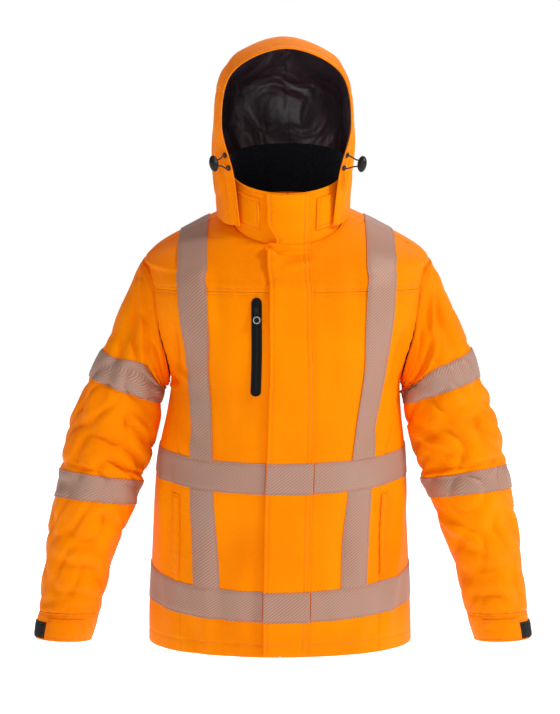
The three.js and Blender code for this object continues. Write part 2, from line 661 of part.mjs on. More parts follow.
// An upright tape's line at a share of its half width, from the front waist tape over the
// shoulder to the back one, by even steps of its length.
function braceOver(side, offset) {
  const steps = 60;
  const top = shoulderLevel(along(braceLine, 'x', row.shoulderPoint)
    + offset * along(braceLine, 'half', row.shoulderPoint));
  const line = [];
  for (const half of ['front', 'back']) {
    const leg = evenly(waistTapeTop, top, steps).map((level) => {
      const x = along(braceLine, 'x', level) + offset * along(braceLine, 'half', level);
      return body(half, side * Math.abs(acrossAt(half, x, level)), level);
    });
    line.push(...(half === 'front' ? leg : leg.reverse().slice(1)));
  }
  const lengths = [0];
  for (let k = 1; k < line.length; k += 1) lengths.push(lengths[k - 1] + line[k].distanceTo(line[k - 1]));
  return (share) => {
    const goal = share * lengths[lengths.length - 1];
    let k = 0;
    while (k < line.length - 2 && lengths[k + 1] < goal) k += 1;
    return line[k].clone().lerp(line[k + 1], (goal - lengths[k]) / (lengths[k + 1] - lengths[k]));
  };
}

// The upright tapes, each in three lengths: below the waist in front, over the shoulder, and
// below the waist behind.
function makeBraces() {
  for (const [name, side] of sides) {
    for (const half of ['front', 'back']) {
      const facing = half === 'front' ? side : -side;
      const at = (u, level) => {
        const x = along(braceLine, 'x', level) + facing * u * along(braceLine, 'half', level);
        return body(half, side * Math.abs(acrossAt(half, x, level)), level);
      };
      add(`tape_${half}_${name}`, wall({
        at, u: [-1, 1], v: [hemTapeTop, waistTapeLow], cells: [2, 4],
        from: lie, to: lie + tapeThick, trim: [0, 0, seam, seam],
      }), 'tape');
    }
    const lines = new Map();
    const at = (u, share) => {
      const key = u.toFixed(6);
      if (!lines.has(key)) lines.set(key, braceOver(side, side * u));
      return lines.get(key)(share);
    };
    add(`tape_shoulder_${name}`, wall({
      at, u: [-1, 1], v: [0, 1], cells: [3, 34], from: overShoulder, to: overShoulder + tapeThick,
      trim: [0, 0, seam, seam],
    }), 'tape');
  }
}

function makeSleeveTapes() {
  for (const [name, side] of sides) {
    const at = (turn, place) => sleeve(side, side * turn, place);
    for (const [where, low] of [['upper', upperTapeRing], ['lower', lowerTapeRing]]) {
      add(`tape_${where}_sleeve_${name}`, wall({
        at, u: [0, 360], v: [low, low + 1], cells: [20, 1], from: lie, to: lie + tapeThick,
        round: true,
      }), 'tape');
    }
  }
}

// The laminated zip on the chest, its slider with a bridge, and its pull tab.
function makeChestZip() {
  const top = levelAt('front', chestZip.top);
  const foot = levelAt('front', chestZip.foot);
  add('chest_zip', wall({
    at: fore, u: [chestZip.left, chestZip.right], v: [foot, top], cells: [1, 8],
    from: lie, to: lie + chestZip.thick,
  }), 'trim');

  // The slider's frame: X across, Y up the zip, Z out of the cloth.
  const middle = (chestZip.left + chestZip.right) / 2;
  const level = levelAt('front', slider.height);
  const spot = fore(middle, level);
  const out = outOf(fore, middle, level).setX(0).normalize();
  const up = new THREE.Vector3(1, 0, 0).cross(out).negate();
  const frame = new THREE.Group();
  frame.matrixAutoUpdate = false;
  frame.matrix.makeBasis(new THREE.Vector3(1, 0, 0), up, out).setPosition(
    spot.addScaledVector(out, lie + chestZip.thick + 0.6));
  jacket.add(frame);

  const plate = box(slider.wide, slider.long, slider.thick, 0, 0, slider.thick / 2);
  const gap = pull.pinRadius + 0.35;
  const legThick = slider.bridgeThick;
  const rise = 2 * gap + legThick;
  const legs = [-1, 1].map((s) => box(slider.bridgeWide, legThick, rise + 0.4,
    0, s * (gap + legThick / 2), slider.thick + rise / 2 - 0.2));
  const lid = box(slider.bridgeWide, 2 * (gap + legThick), legThick,
    0, 0, slider.thick + 2 * gap + legThick / 2);
  addTo(frame, 'chest_zip_slider', joined([plate, ...legs, lid]), 'trim');

  const pin = new THREE.CylinderGeometry(pull.pinRadius, pull.pinRadius, 2 * (pull.eye + pull.arm), 10);
  pin.rotateZ(Math.PI / 2);
  const armLong = pull.drop - pull.disc + 2;
  const arms = [-1, 1].map((s) => box(pull.arm, armLong, pull.thick,
    s * (pull.eye + pull.arm / 2), -armLong / 2 + pull.pinRadius * 0.6, 0));
  const outline = new THREE.Shape().absarc(0, -pull.drop, pull.disc, 0, 2 * Math.PI);
  outline.holes.push(new THREE.Path().absarc(0, -pull.drop, pull.hole, 0, 2 * Math.PI, true));
  const disc = new THREE.ExtrudeGeometry(outline, { depth: pull.thick, bevelEnabled: false, curveSegments: 10 });
  disc.translate(0, 0, -pull.thick / 2);
  const tab = new THREE.Group();
  tab.position.set(0, 0, slider.thick + gap);
  frame.add(tab);
  addTo(tab, 'chest_zip_pull', joined([pin, ...arms, disc]), 'trim');
}

// Each welt is a strip on the side panel, just behind the front's seam.
function makeWelts() {
  const top = levelAt('front', welt.top);
  const foot = levelAt('front', welt.foot);
  for (const [name, side] of sides) {
    const at = (u, level) => {
      const x = along(sideSeams, 'x', level) + 1.5 + (side > 0 ? u : 1 - u) * welt.wide;
      return body('front', side * Math.abs(acrossAt('front', x, level)), level);
    };
    add(`pocket_welt_${name}`, wall({
      at, u: [0, 1], v: [foot, top], cells: [2, 4], from: lie + 0.4, to: lie + 0.4 + welt.thick,
    }), 'shell');
  }
}

// The tabs at the hood's front corners lie on the collar.
function makeHoodTabs() {
  for (const [name, turns] of [['right', [-52, -27]], ['left', [29, 54]]]) {
    add(`hood_tab_${name}`, wall({
      at: collar, u: turns, v: [0.2, 0.82], cells: [3, 2], from: lie, to: lie + 2,
    }), 'shell');
  }
}

// Where the hood's surface on one side is at a height, beside the face's edge.
function besideFace(side, height) {
  let low = 0.3;
  let high = 1;
  for (let k = 0; k < 40; k += 1) {
    const mid = (low + high) / 2;
    if (hood(side * mid, hoodCord.inset).z > height) low = mid;
    else high = mid;
  }
  const at = hood(side * low, hoodCord.inset);
  const out = outOf(hood, side * low, hoodCord.inset);
  return { at, out };
}

// A tube of eight sides along a curve.
function tube(curve, radius, steps) {
  const section = new THREE.Shape().absarc(0, 0, radius, 0, 2 * Math.PI);
  return new THREE.ExtrudeGeometry(section, { extrudePath: curve, steps, curveSegments: 4 });
}

// The cord leaves one eyelet, turns inside the toggle and goes back into the other eyelet.
function makeHoodCords() {
  for (const [name, side] of sides) {
    const upper = besideFace(side, hoodCord.upper);
    const lower = besideFace(side, hoodCord.lower);
    for (const [where, spot] of [['upper', upper], ['lower', lower]]) {
      const ring = new THREE.LatheGeometry([
        [eyeletInner, 0], [eyeletOuter, 0], [eyeletOuter - 0.6, 1.2], [eyeletInner, 1.2], [eyeletInner, 0],
      ].map(([r, h]) => new THREE.Vector2(r, h)), 12);
      ring.applyQuaternion(new THREE.Quaternion().setFromUnitVectors(
        new THREE.Vector3(0, 1, 0), spot.out));
      const seat = spot.at.clone().addScaledVector(spot.out, 0.8);
      ring.translate(seat.x, seat.y, seat.z);
      add(`eyelet_${where}_${name}`, merged(ring), 'trim');
    }
    const between = upper.at.clone().add(lower.at).multiplyScalar(0.5);
    const into = new THREE.Vector3(side * 0.9, -0.36, -0.12).normalize();
    const rough = new THREE.Vector3(side > 0 ? 0.2 : -0.42, 0, 0.9);
    const long = rough.addScaledVector(into, -rough.dot(into)).normalize();
    const middle = between.addScaledVector(into, hoodCord.reach[name]);
    const from = (a, b) => middle.clone().addScaledVector(into, a).addScaledVector(long, b);
    const lead = (spot, h) => spot.at.clone().addScaledVector(spot.out, h);
    const curve = new THREE.CatmullRomCurve3([
      lead(upper, 0.8), lead(upper, 5), from(-11, 5.4), from(-5, 4.9), from(0, 4.6), from(3.2, 3.2),
      from(4.4, 0), from(3.2, -3.2), from(0, -4.6), from(-5, -4.9), from(-11, -5.4),
      lead(lower, 5), lead(lower, 0.8),
    ], false, 'centripetal');
    add(`hood_cord_${name}`, merged(tube(curve, cordRadius, 22)), 'trim');
    const barrel = new THREE.SphereGeometry(1, 12, 8);
    barrel.scale(toggleWide, toggleLong, toggleWide);
    const basis = new THREE.Matrix4().makeBasis(into, long, into.clone().cross(long));
    barrel.applyMatrix4(basis.setPosition(middle));
    const bore = solid(tube(curve, cordRadius + seam, 22));
    add(`toggle_${name}`, geometryOf(solid(barrel).subtract(bore)), 'trim');
  }
}

makeFronts();
makeSides();
makeBack();
makeSleeves();
makeCollar();
makeHood();
makeFlap();
makeRoundTapes();
makeBraces();
makeSleeveTapes();
makeChestZip();
makeWelts();
makeHoodTabs();
makeHoodCords();
export default jacket;
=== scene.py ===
import math
import bpy
import numpy as np
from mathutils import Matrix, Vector


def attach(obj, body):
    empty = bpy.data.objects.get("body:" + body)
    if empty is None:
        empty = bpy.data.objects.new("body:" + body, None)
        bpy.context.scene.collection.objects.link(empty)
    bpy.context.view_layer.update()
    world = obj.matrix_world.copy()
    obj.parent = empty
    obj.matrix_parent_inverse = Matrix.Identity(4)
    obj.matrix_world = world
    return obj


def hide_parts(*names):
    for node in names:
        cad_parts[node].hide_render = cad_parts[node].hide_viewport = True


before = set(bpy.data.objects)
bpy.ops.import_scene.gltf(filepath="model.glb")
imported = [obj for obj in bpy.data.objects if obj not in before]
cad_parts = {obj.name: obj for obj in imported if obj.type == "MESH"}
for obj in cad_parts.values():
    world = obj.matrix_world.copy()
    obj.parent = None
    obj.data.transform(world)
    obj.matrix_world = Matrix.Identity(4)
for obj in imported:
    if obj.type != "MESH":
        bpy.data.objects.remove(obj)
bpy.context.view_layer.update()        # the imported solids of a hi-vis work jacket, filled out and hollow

# Sizes below are in millimetres in the row's frame: +Z up, the front faces -Y, the wearer's left is
# at +X. meshOf turns them to metres. "right" and "left" are the wearer's.

sides = {"right": -1, "left": 1}
madePieces = {}

# Camera: the photograph's height and distance, level with the wearer's chest.
cameraSet = {"target": (-0.005, 0.0, -0.240), "distance": 2.83, "elevation": 8.0, "lens": 86.9}


def placeCamera():
    data = bpy.data.cameras.new("photoCamera")
    data.sensor_width = 36
    data.lens = cameraSet["lens"]
    data.clip_end = 60
    camera = bpy.data.objects.new("photoCamera", data)
    bpy.context.scene.collection.objects.link(camera)
    lift = math.radians(cameraSet["elevation"])
    target = Vector(cameraSet["target"])
    camera.location = target + cameraSet["distance"] * Vector((0, -math.cos(lift), math.sin(lift)))
    camera.rotation_euler = (target - camera.location).to_track_quat("-Z", "Y").to_euler()
    bpy.context.scene.camera = camera


placeCamera()

# The hood's cords: each leaves the upper eyelet, turns inside its toggle and goes back into the lower
# eyelet. The route is the solids' own, at even steps of 2.4 to 2.7 mm.
hoodCord = {"diameter": 2.4, "length": {"right": 61.5, "left": 70.9}, "slot": "cord", "sides": 12}
cordRoutes = {
    "right": [
        (-91.6, -79.1, 90.8), (-93.3, -80.7, 90.5), (-95.1, -81.9, 89.7), (-96.6, -82, 87.9),
        (-98.1, -81.8, 86.1), (-100, -82.1, 84.7), (-102.1, -82.9, 84.1), (-104.2, -83.9, 83.8),
        (-106.4, -84.8, 83.5), (-108.6, -85.7, 83.1), (-110.6, -86.6, 82.3), (-112.3, -87.5, 80.9),
        (-112.8, -88.1, 78.7), (-112.3, -88.3, 76.4), (-110.8, -88.1, 74.6), (-108.7, -87.4, 73.9),
        (-106.5, -86.6, 73.8), (-104.3, -85.7, 74), (-102.1, -84.8, 74.2), (-100, -83.9, 74.5),
        (-97.7, -83.1, 74.4), (-95.5, -82.9, 73.6), (-93.5, -82.8, 72.5), (-91.4, -82.8, 71.3),
        (-89.3, -82.4, 70.3), (-87.5, -80.9, 70.3), (-86.3, -79, 70.9)],
    "left": [
        (101, -79, 90.8), (103.3, -80.3, 90.3), (105.6, -81.5, 89.3), (107.8, -82.3, 87.9),
        (110, -83.1, 86.5), (112.2, -83.9, 85.2), (114.5, -84.8, 84.1), (117, -85.8, 83.5),
        (119.5, -86.8, 83), (122, -87.8, 82.6), (124.4, -88.8, 82), (126.6, -89.8, 80.7),
        (127.5, -90.3, 78.2), (127.1, -90.4, 75.6), (125.3, -89.9, 73.6), (122.9, -89, 73),
        (120.3, -88, 73.1), (117.8, -87, 73.4), (115.3, -85.9, 73.6), (112.7, -85, 73.6),
        (110.1, -84.3, 73.1), (107.6, -83.8, 72.4), (105, -83.3, 71.6), (102.4, -82.8, 70.8),
        (99.8, -82.1, 70.2), (97.5, -80.8, 70.2), (95.6, -78.9, 70.9)],
}


def makeCords():
    # each cord is a closed tube, swept along its route without twisting
    turns = np.arange(hoodCord["sides"]) * 2 * math.pi / hoodCord["sides"]
    radius = hoodCord["diameter"] / 2
    for name, route in cordRoutes.items():
        path = np.array(route, float)
        along = np.gradient(path, axis=0)
        along /= np.linalg.norm(along, axis=1, keepdims=True)
        up = np.array([0.0, -1.0, 0.0])
        rings = []
        for place, forward in zip(path, along):
            up = up - forward * (up @ forward)
            up /= np.linalg.norm(up)
            aside = np.cross(forward, up)
            rings.append(place + radius * (np.cos(turns)[:, None] * up + np.sin(turns)[:, None] * aside))
        points = np.concatenate([*rings, path[:1], path[-1:]]) / 1000
        index = np.arange(len(path) * len(turns)).reshape(len(path), -1)
        after = np.roll(index, -1, 1)
        faces = np.stack([index[:-1], after[:-1], after[1:], index[1:]], -1).reshape(-1, 4).tolist()
        faces += [(len(points) - 2, q, p) for p, q in zip(index[0].tolist(), after[0].tolist())]
        faces += [(len(points) - 1, p, q) for p, q in zip(index[-1].tolist(), after[-1].tolist())]
        mesh = bpy.data.meshes.new(f"hoodCord_{name}")
        mesh.from_pydata(points.tolist(), [], faces)
        mesh.polygons.foreach_set("use_smooth", np.ones(len(mesh.polygons), bool))
        cord = bpy.data.objects.new(f"hoodCord_{name}", mesh)
        bpy.context.scene.collection.objects.link(cord)
        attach(cord, "garment")
        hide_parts(f"hood_cord_{name}")
        madePieces[f"hoodCord_{name}"] = cord


makeCords()
print("stage: camera and cords")

# The body's rows from hem to neck. x and z are a row's end, at the side seam, then on the armhole, then
# on the shoulder seam. depth and mid are the row at the middle of the body, and turn is how far round
# the row has bent at its end, in degrees. All of them are the solids' own values.
rowNames = ["hem", "lowTape", "hip", "waistTape", "rib", "underarm", "armholeLow", "armholeMid", "yoke",
            "armholeTop", "shoulderPoint", "shoulder", "neck"]
rowAt = {name: place for place, name in enumerate(rowNames)}
rowEnds = {
    "x": [219.5, 215, 210, 204.5, 193, 188, 192, 206, 214, 222, 228, 160, 92],
    "z": [-714, -605, -505, -403, -330, -285, -245, -188, -122, -92, -72, -32, 0],
}
rowShape = {
    "front": {
        "y": [0, 0, 0, 0, 0, 0, -38, -60, -50, -25, 4, 2, -9.5],
        "depth": [141, 142, 141, 140, 141, 142, 142, 140, 134, 127, 120, 108, 99],
        "mid": [-706, -623, -520, -415, -335, -285, -243, -188, -120, -102, -88, -66, -49],
        "turn": [90, 90, 90, 90, 90, 90, 76, 66, 66, 76, 88, 89, 90],
    },
    "back": {
        "y": [0, 0, 0, 0, 0, 0, 42, 66, 58, 34, 4, 2, -9.5],
        "depth": [134, 133, 130, 127, 129, 134, 138, 141, 138, 130, 118, 100, 80],
        "mid": [-724, -620, -515, -412, -335, -285, -238, -178, -106, -66, -36, -2, 24],
        "turn": [90, 90, 90, 90, 90, 90, 76, 66, 66, 76, 88, 89, 90],
    },
}
bodyCut = {"boxiness": 0.85, "zipHalf": 0.6, "sideSeam": [160, 162, 161, 167, 179, 188]}

# Folds of the body seen from the front or the back: from x1, z1 to x2, z2, how deep, how wide, and how
# much of the trough is pushed up as a ridge on one side. A negative ridge stands on the other side.
bodyFolds = {
    "front": [
        (-196, -160, -150, -250, 5, 15, 0), (200, -165, 158, -262, 5, 15, 0),
        (-178, -330, -150, -560, 4, 20, 0), (182, -330, 158, -600, 4, 20, 0),
        (-80, -470, -70, -590, 3, 22, 0), (84, -470, 96, -600, 3, 24, 0),
        (-188, -175, -174, -262, 6.8, 7, -0.7), (196, -178, 170, -280, 7.5, 8, 0.7),
        (-176, -236, -150, -262, 5.2, 6, 0.7), (-196, -268, -172, -276, 7.5, 6, 0.6),
        (-120, -60, -104, -190, 2.7, 13, 0.6), (112, -70, 104, -210, 2.7, 14, -0.6),
        (-184, -382, -178, -560, 5.2, 8, 0.8), (-196, -455, -176, -640, 3.9, 11, -0.7),
        (-150, -330, -120, -388, 3.3, 13, 0.6), (160, -312, 126, -376, 3.6, 14, -0.6),
        (-60, -160, -66, -330, 2.4, 18, 0.5), (72, -140, 66, -320, 2.2, 20, -0.5),
        (100, -480, 90, -640, 3.6, 16, 0.7), (62, -500, 68, -690, 2.7, 15, -0.6),
        (-104, -500, -92, -700, 3.3, 15, 0.7), (-40, -520, -44, -700, 2.2, 14, 0.5),
        (192, -400, 172, -620, 5.1, 10, -0.8), (204, -540, 190, -700, 3.6, 10, 0.6),
        (-206, -560, -196, -700, 3.3, 10, 0.6), (150, -640, 146, -712, 3, 12, 0.5),
        (-140, -640, -136, -712, 2.7, 12, -0.5), (-182, -90, -120, -76, 2.4, 10, 0.5),
        (186, -92, 128, -74, 2.4, 10, 0.5), (-14, -76, 44, -64, 5.1, 6, 0.8),
        (-30, -58, -4, -66, 3.9, 6, -0.8), (30, -52, 60, -40, 2.7, 7, 0.6),
    ],
    "back": [
        (-190, -170, -120, -300, 6, 18, 0), (190, -170, 122, -310, 6, 18, 0),
        (-60, -440, -84, -600, 5, 26, 0), (70, -430, 88, -600, 5, 26, 0),
        (-196, -190, -150, -268, 6.3, 8, 0.7), (196, -186, 156, -262, 6.3, 8, -0.7),
        (-170, -300, -90, -352, 4.8, 12, 0.7), (168, -306, 96, -362, 4.5, 12, -0.7),
        (-140, -352, -50, -372, 3.4, 11, 0.6), (136, -340, 58, -376, 3.1, 12, -0.6),
        (-30, -110, -36, -280, 2.2, 22, 0.5), (44, -120, 38, -300, 2.1, 20, -0.5),
        (-128, -470, -116, -690, 3.9, 15, 0.7), (124, -480, 118, -690, 3.6, 16, -0.7),
        (-10, -480, -6, -700, 2.8, 18, 0.6), (-190, -400, -176, -600, 4.2, 10, 0.7),
        (190, -410, 178, -610, 4.2, 10, -0.7), (-90, -20, -130, -90, 2.5, 12, 0.6),
        (92, -22, 134, -92, 2.5, 12, 0.6), (-44, 8, 40, 6, 3.1, 8, 0.7),
        (40, -560, 52, -700, 2.5, 14, 0.5), (-60, -620, -70, -712, 2.8, 14, -0.5),
    ],
}

# The sleeve's rings after the armhole: the outer and the inner point, the middle along Y and the half
# width from front to back.
sleeveRings = {
    "outX": [240, 256, 283, 302, 322, 341, 357, 366, 370.5, 378, 388, 394, 400, 405.5, 411],
    "outZ": [-88, -120, -180, -223, -270, -316, -358, -400, -424, -470, -517, -564, -617, -658, -704],
    "inX": [191, 192.5, 193.5, 194.5, 197.5, 204, 215, 226, 229, 243, 262, 280, 293, 303, 318],
    "inZ": [-287, -288.5, -290.5, -294, -316, -356, -397, -430, -445, -484, -526, -572, -624, -662, -709],
    "mid": [3, 2, 0, -2, -4, -6, -9, -12, -14, -18, -22, -26, -29, -31, -33],
    "half": [63, 66, 70, 72, 73, 73, 72, 71, 70, 68, 64, 59, 54, 51, 49],
}
sleeveCut = {"cuffEnd": 15, "upperTape": 4, "lowerTape": 9, "ringStep": 45, "turnStep": 1.2, "tilt": 0.17}

# Folds of the sleeves, each between two places: ring and angle, then ring and angle, from the outer
# line, positive to the front. The first nine are the solids' own and are on both sleeves.
sleeveFolds = {
    "both": [
        (1, 48, 6, 66, 8, 13, 0), (4.5, 70, 5.6, 150, 7, 12, 0), (7.2, 80, 8.2, 170, 6, 12, 0),
        (9.2, 60, 8.8, 160, 5, 11, 0), (10.6, 20, 11.4, 120, 4, 12, 0), (12.2, 70, 12.6, 170, 4, 11, 0),
        (7, -60, 8, -170, 7, 14, 0), (8.6, -40, 9, -150, 6, 12, 0), (3, -80, 5, -160, 7, 14, 0),
        (5.2, -50, 6.4, -165, 7.2, 9, 0.7), (10.2, -40, 10.8, -160, 7.2, 10, 0.7),
        (11.8, -50, 12.4, -150, 6.2, 9, -0.7), (1.4, -30, 3.6, -130, 6.2, 10, 0.7),
        (6.2, -20, 6.6, -120, 4.7, 9, -0.6), (13.2, -160, 13.3, -20, 4.3, 8, 0.6),
    ],
    "right": [
        (1, 20, 3.4, 100, 8.5, 9, 0.8), (2.6, 100, 3.5, 172, 11.2, 7, 0.8),
        (3.4, 112, 4.4, 178, 7.5, 7, -0.7), (5.9, 92, 6.8, 172, 9.4, 8, 0.8),
        (6.8, 80, 7.7, 168, 8.6, 8, -0.7), (7.7, 96, 8.3, 172, 7.9, 7, 0.8),
        (8.4, 40, 8.7, 110, 4.5, 8, 0.6), (10.3, 84, 10.9, 166, 7.9, 9, 0.8),
        (11.2, 60, 11.9, 158, 7.1, 9, -0.7), (12, 40, 12.4, 130, 5.6, 8, 0.7),
        (13, 60, 13.3, 160, 5.2, 8, 0.7), (5, 20, 6.8, 46, 5.2, 12, 0.6),
        (9.9, 10, 11.6, 40, 4.9, 12, 0.6), (13.5, 90, 13.6, 20, 3.8, 7, 0.6),
    ],
    "left": [
        (2.2, 72, 3.6, 166, 12.2, 7, -0.8), (3.6, 140, 4.6, 178, 10.2, 9, 0.6),
        (1.3, 30, 3, 86, 6.8, 10, 0.8), (5.5, 170, 7, 108, 9.4, 8, 0.8), (5.6, 96, 7.4, 24, 7.9, 10, 0.7),
        (6.6, 150, 7.7, 90, 8.2, 8, -0.7), (7.9, 166, 8.2, 90, 7.5, 8, 0.7),
        (8.4, 80, 8.1, 20, 5.2, 9, -0.6), (10.1, 168, 11, 100, 7.5, 9, 0.8),
        (11.2, 160, 12, 84, 7.1, 9, -0.7), (12.2, 130, 12.8, 40, 5.6, 9, 0.7),
        (13.2, 150, 13.4, 50, 4.9, 7, 0.6), (10.2, 60, 11.6, 20, 5.2, 11, 0.6),
        (5, 40, 5.4, -30, 4.5, 12, 0.6),
    ],
}

# The hood's arches from the back to the face, each through five points from its foot beside the
# collar to its top.
hoodArches = {
    "x": [[98, 105, 101, 64, 0], [107, 111, 110, 82, 0], [101, 109, 112, 88, 0], [90, 100, 110, 90, 0],
          [74, 84, 103, 84, 0]],
    "y": [[12, 34, 66, 104, 119], [-15, 8, 44, 100, 126], [-48, -38, -16, 32, 56], [-68, -66, -56, -34, -24],
          [-80, -82, -86, -92, -94]],
    "z": [[4, 40, 72, 92, 98], [-5, 60, 128, 182, 194], [-12, 60, 142, 232, 265], [-18, 60, 146, 236, 277],
          [-20, 60, 140, 221, 257]],
}
hoodCut = {"napeTurn": 65, "napeRise": 0.06, "crown": 5 / 13, "faceHem": 20}
collarCut = {"height": 80, "foot": 1, "flare": 1.06}

# Folds of the hood: from across1, back1 to across2, back2, with across counted in 300 mm and back in
# 330 mm, then how deep, how wide, and the ridge.
hoodFolds = [
    (-0.98, 0.14, -0.5, 0.2, 3.2, 13, 0.7), (-0.95, 0.34, -0.45, 0.44, 4, 16, -0.7),
    (-0.9, 0.55, -0.5, 0.7, 4.5, 17, 0.7), (0.98, 0.16, 0.46, 0.24, 3.4, 13, 0.7),
    (0.94, 0.36, 0.4, 0.5, 4.2, 16, -0.7), (0.9, 0.58, 0.5, 0.74, 4.5, 18, 0.7),
    (-0.3, 0.1, -0.22, 0.42, 2.2, 12, 0.6), (0.26, 0.08, 0.32, 0.4, 2.4, 12, -0.6),
    (-0.3, 0.78, 0.3, 0.8, 5, 18, 0.7), (-0.7, 0.86, 0.7, 0.88, 4, 14, -0.6),
    (-0.86, 0.2, -0.9, 0.5, 2.4, 10, 0.6), (0.84, 0.18, 0.92, 0.5, 2.4, 10, -0.6),
]


def through(a, b, c, d, t):
    # the smooth cubic through four neighbouring values, at the share t between the middle two
    return 0.5 * (2 * b + (c - a) * t + (2 * a - 5 * b + 4 * c - d) * t * t + (3 * b - a - 3 * c + d) * t ** 3)


def column(values, t):
    # a column of a table at the place t, counted in rows; past its ends it runs on straight
    values = np.asarray(values, float)
    t = np.asarray(t, float)
    last = len(values) - 2
    k = np.clip(np.floor(t).astype(int), 0, last)
    b, c = values[k], values[k + 1]
    a = np.where(k > 0, values[np.maximum(k - 1, 0)], 2 * b - c)
    d = np.where(k < last, values[np.minimum(k + 2, last + 1)], 2 * c - b)
    return through(a, b, c, d, t - k)


def layered(layers, t):
    # the same curve through a stack of point grids, each point at its own place t
    last = layers.shape[0] - 2
    k = np.clip(np.floor(t).astype(int), 0, last)
    pick = lambda j: np.take_along_axis(layers, np.clip(j, 0, last + 1)[None, ..., None], 0)[0]
    b, c = pick(k), pick(k + 1)
    a = np.where((k > 0)[..., None], pick(k - 1), 2 * b - c)
    d = np.where((k < last)[..., None], pick(k + 2), 2 * c - b)
    return through(a, b, c, d, (t - k)[..., None])


def mix(a, b, t):
    return a + (b - a) * t


def smooth(t):
    t = np.clip(t, 0, 1)
    return t * t * (3 - 2 * t)


def foldSink(folds, p, q):
    # the sum of soft troughs: a bell across each fold's line, less a bell beside it for its ridge, both
    # fading with a squared sine towards the line's ends
    sink = np.zeros(np.broadcast(p, q).shape)
    for p1, q1, p2, q2, deep, wide, ridge in folds:
        run = math.hypot(p2 - p1, q2 - q1)
        t = ((p - p1) * (p2 - p1) + (q - q1) * (q2 - q1)) / run ** 2
        off = ((p - p1) * (q2 - q1) - (q - q1) * (p2 - p1)) / run / wide
        if ridge < 0:
            off = -off
        fade = np.sin(math.pi * np.clip((t + 0.15) / 1.3, 0, 1)) ** 2
        sink += deep * fade * (np.exp(-off ** 2) - abs(ridge) * np.exp(-(off - 1.5) ** 2))
    return sink


def puff(p, q, size, phase=0.0):
    # slow uneven swelling of padded cloth: three crossed sine waves of unlike lengths, from -1 to 1
    return (np.sin(p / size + 1.3 * np.sin(q / (1.7 * size) + phase)) + np.sin(q / (0.8 * size) + phase * 2.1)
            + np.sin((p - q) / (1.35 * size) + phase * 0.7)) / 3


def creased(p, q, size, phase=0.0):
    # sharp valleys between soft cushions: 1 where the slow swelling crosses its middle
    return 1 - np.minimum(1, 2.2 * np.abs(puff(p, q, size, phase))) ** 0.8


def bell(value, middle, wide):
    return np.exp(-((value - middle) / wide) ** 2)


def bodyLean(z):
    return 6 - 11 * smooth((-200 - z) / 300)


def sleeveLean(z):
    return 6 - 6 * smooth((-200 - z) / 160)


def endY(ys, level):
    # front and back meet at the side seam and along the shoulder seam
    k = np.clip(np.floor(level).astype(int), 0, rowAt["shoulder"])
    ys = np.asarray(ys, float)
    straight = mix(ys[k], ys[k + 1], level - k)
    bent = np.where(level < rowAt["shoulderPoint"], column(ys, level), straight)
    return np.where(level <= rowAt["underarm"], ys[rowAt["underarm"]], bent)


def body(half, across, level):
    # each row is an arc from its middle to its end, squared off by a power of its depth, with the folds
    # sunk towards the body's axis
    rows = rowShape[half]
    across, level = np.broadcast_arrays(np.asarray(across, float), np.asarray(level, float))
    turn = np.radians(column(rows["turn"], level))
    angle = np.abs(across) * turn
    share = np.maximum(0, (np.cos(angle) - np.cos(turn)) / (1 - np.cos(turn)))
    inward = share ** bodyCut["boxiness"]
    side = -1 if half == "front" else 1
    x = np.sign(across) * column(rowEnds["x"], level) * np.sin(angle) / np.sin(turn)
    y = mix(endY(rows["y"], level), side * column(rows["depth"], level), inward)
    z = mix(column(rowEnds["z"], level), column(rows["mid"], level), inward)
    fade = smooth((1 - np.abs(across)) / 0.08) * smooth((rowAt["neck"] - level) / 0.8)
    sink = foldSink(bodyFolds[half][:6 if half == "front" else 4], x, z)
    sink += fade * foldSink(bodyFolds[half][6 if half == "front" else 4:], x, z)
    sink += fade * 0.9 * puff(x, z, 21, 0.4 if half == "front" else 1.9)
    sink += fade * 1.5 * creased(1.5 * x + 0.2 * z, 0.45 * z, 26, 1.3) * smooth((np.abs(x) - 40) / 60)
    reach = np.maximum(1, np.hypot(x / 2, y))
    return np.stack([x - sink * x / 2 / reach + bodyLean(z), y - sink * y / reach, z], -1)


def acrossAt(half, x, level):
    # the share of a row's arc at which it is x from the middle
    turn = np.radians(column(rowShape[half]["turn"], level))
    end = column(rowEnds["x"], level)
    return np.arcsin(np.minimum(1, np.abs(x) * np.sin(turn) / end)) / turn * np.sign(x)


def levelAt(z, mids=rowShape["front"]["mid"]):
    # the row whose middle is at the height z, by halving
    low, high = 0.0, float(rowAt["neck"])
    for _ in range(40):
        middle = (low + high) / 2
        low, high = (middle, high) if column(mids, middle) < z else (low, middle)
    return low


def halves(facing, across, level):
    # front where facing is true, else back
    return np.where(facing[..., None], body("front", across, level), body("back", across, level))


def seamAt(half, level):
    # the share of a row's arc at which the side panel starts; it runs out at the underarm
    end = rowAt["underarm"] - 0.5
    low = np.minimum(level, end)
    share = acrossAt(half, column(bodyCut["sideSeam"], low), low)
    return mix(share, 1, np.clip((level - end) / 0.5, 0, 1))


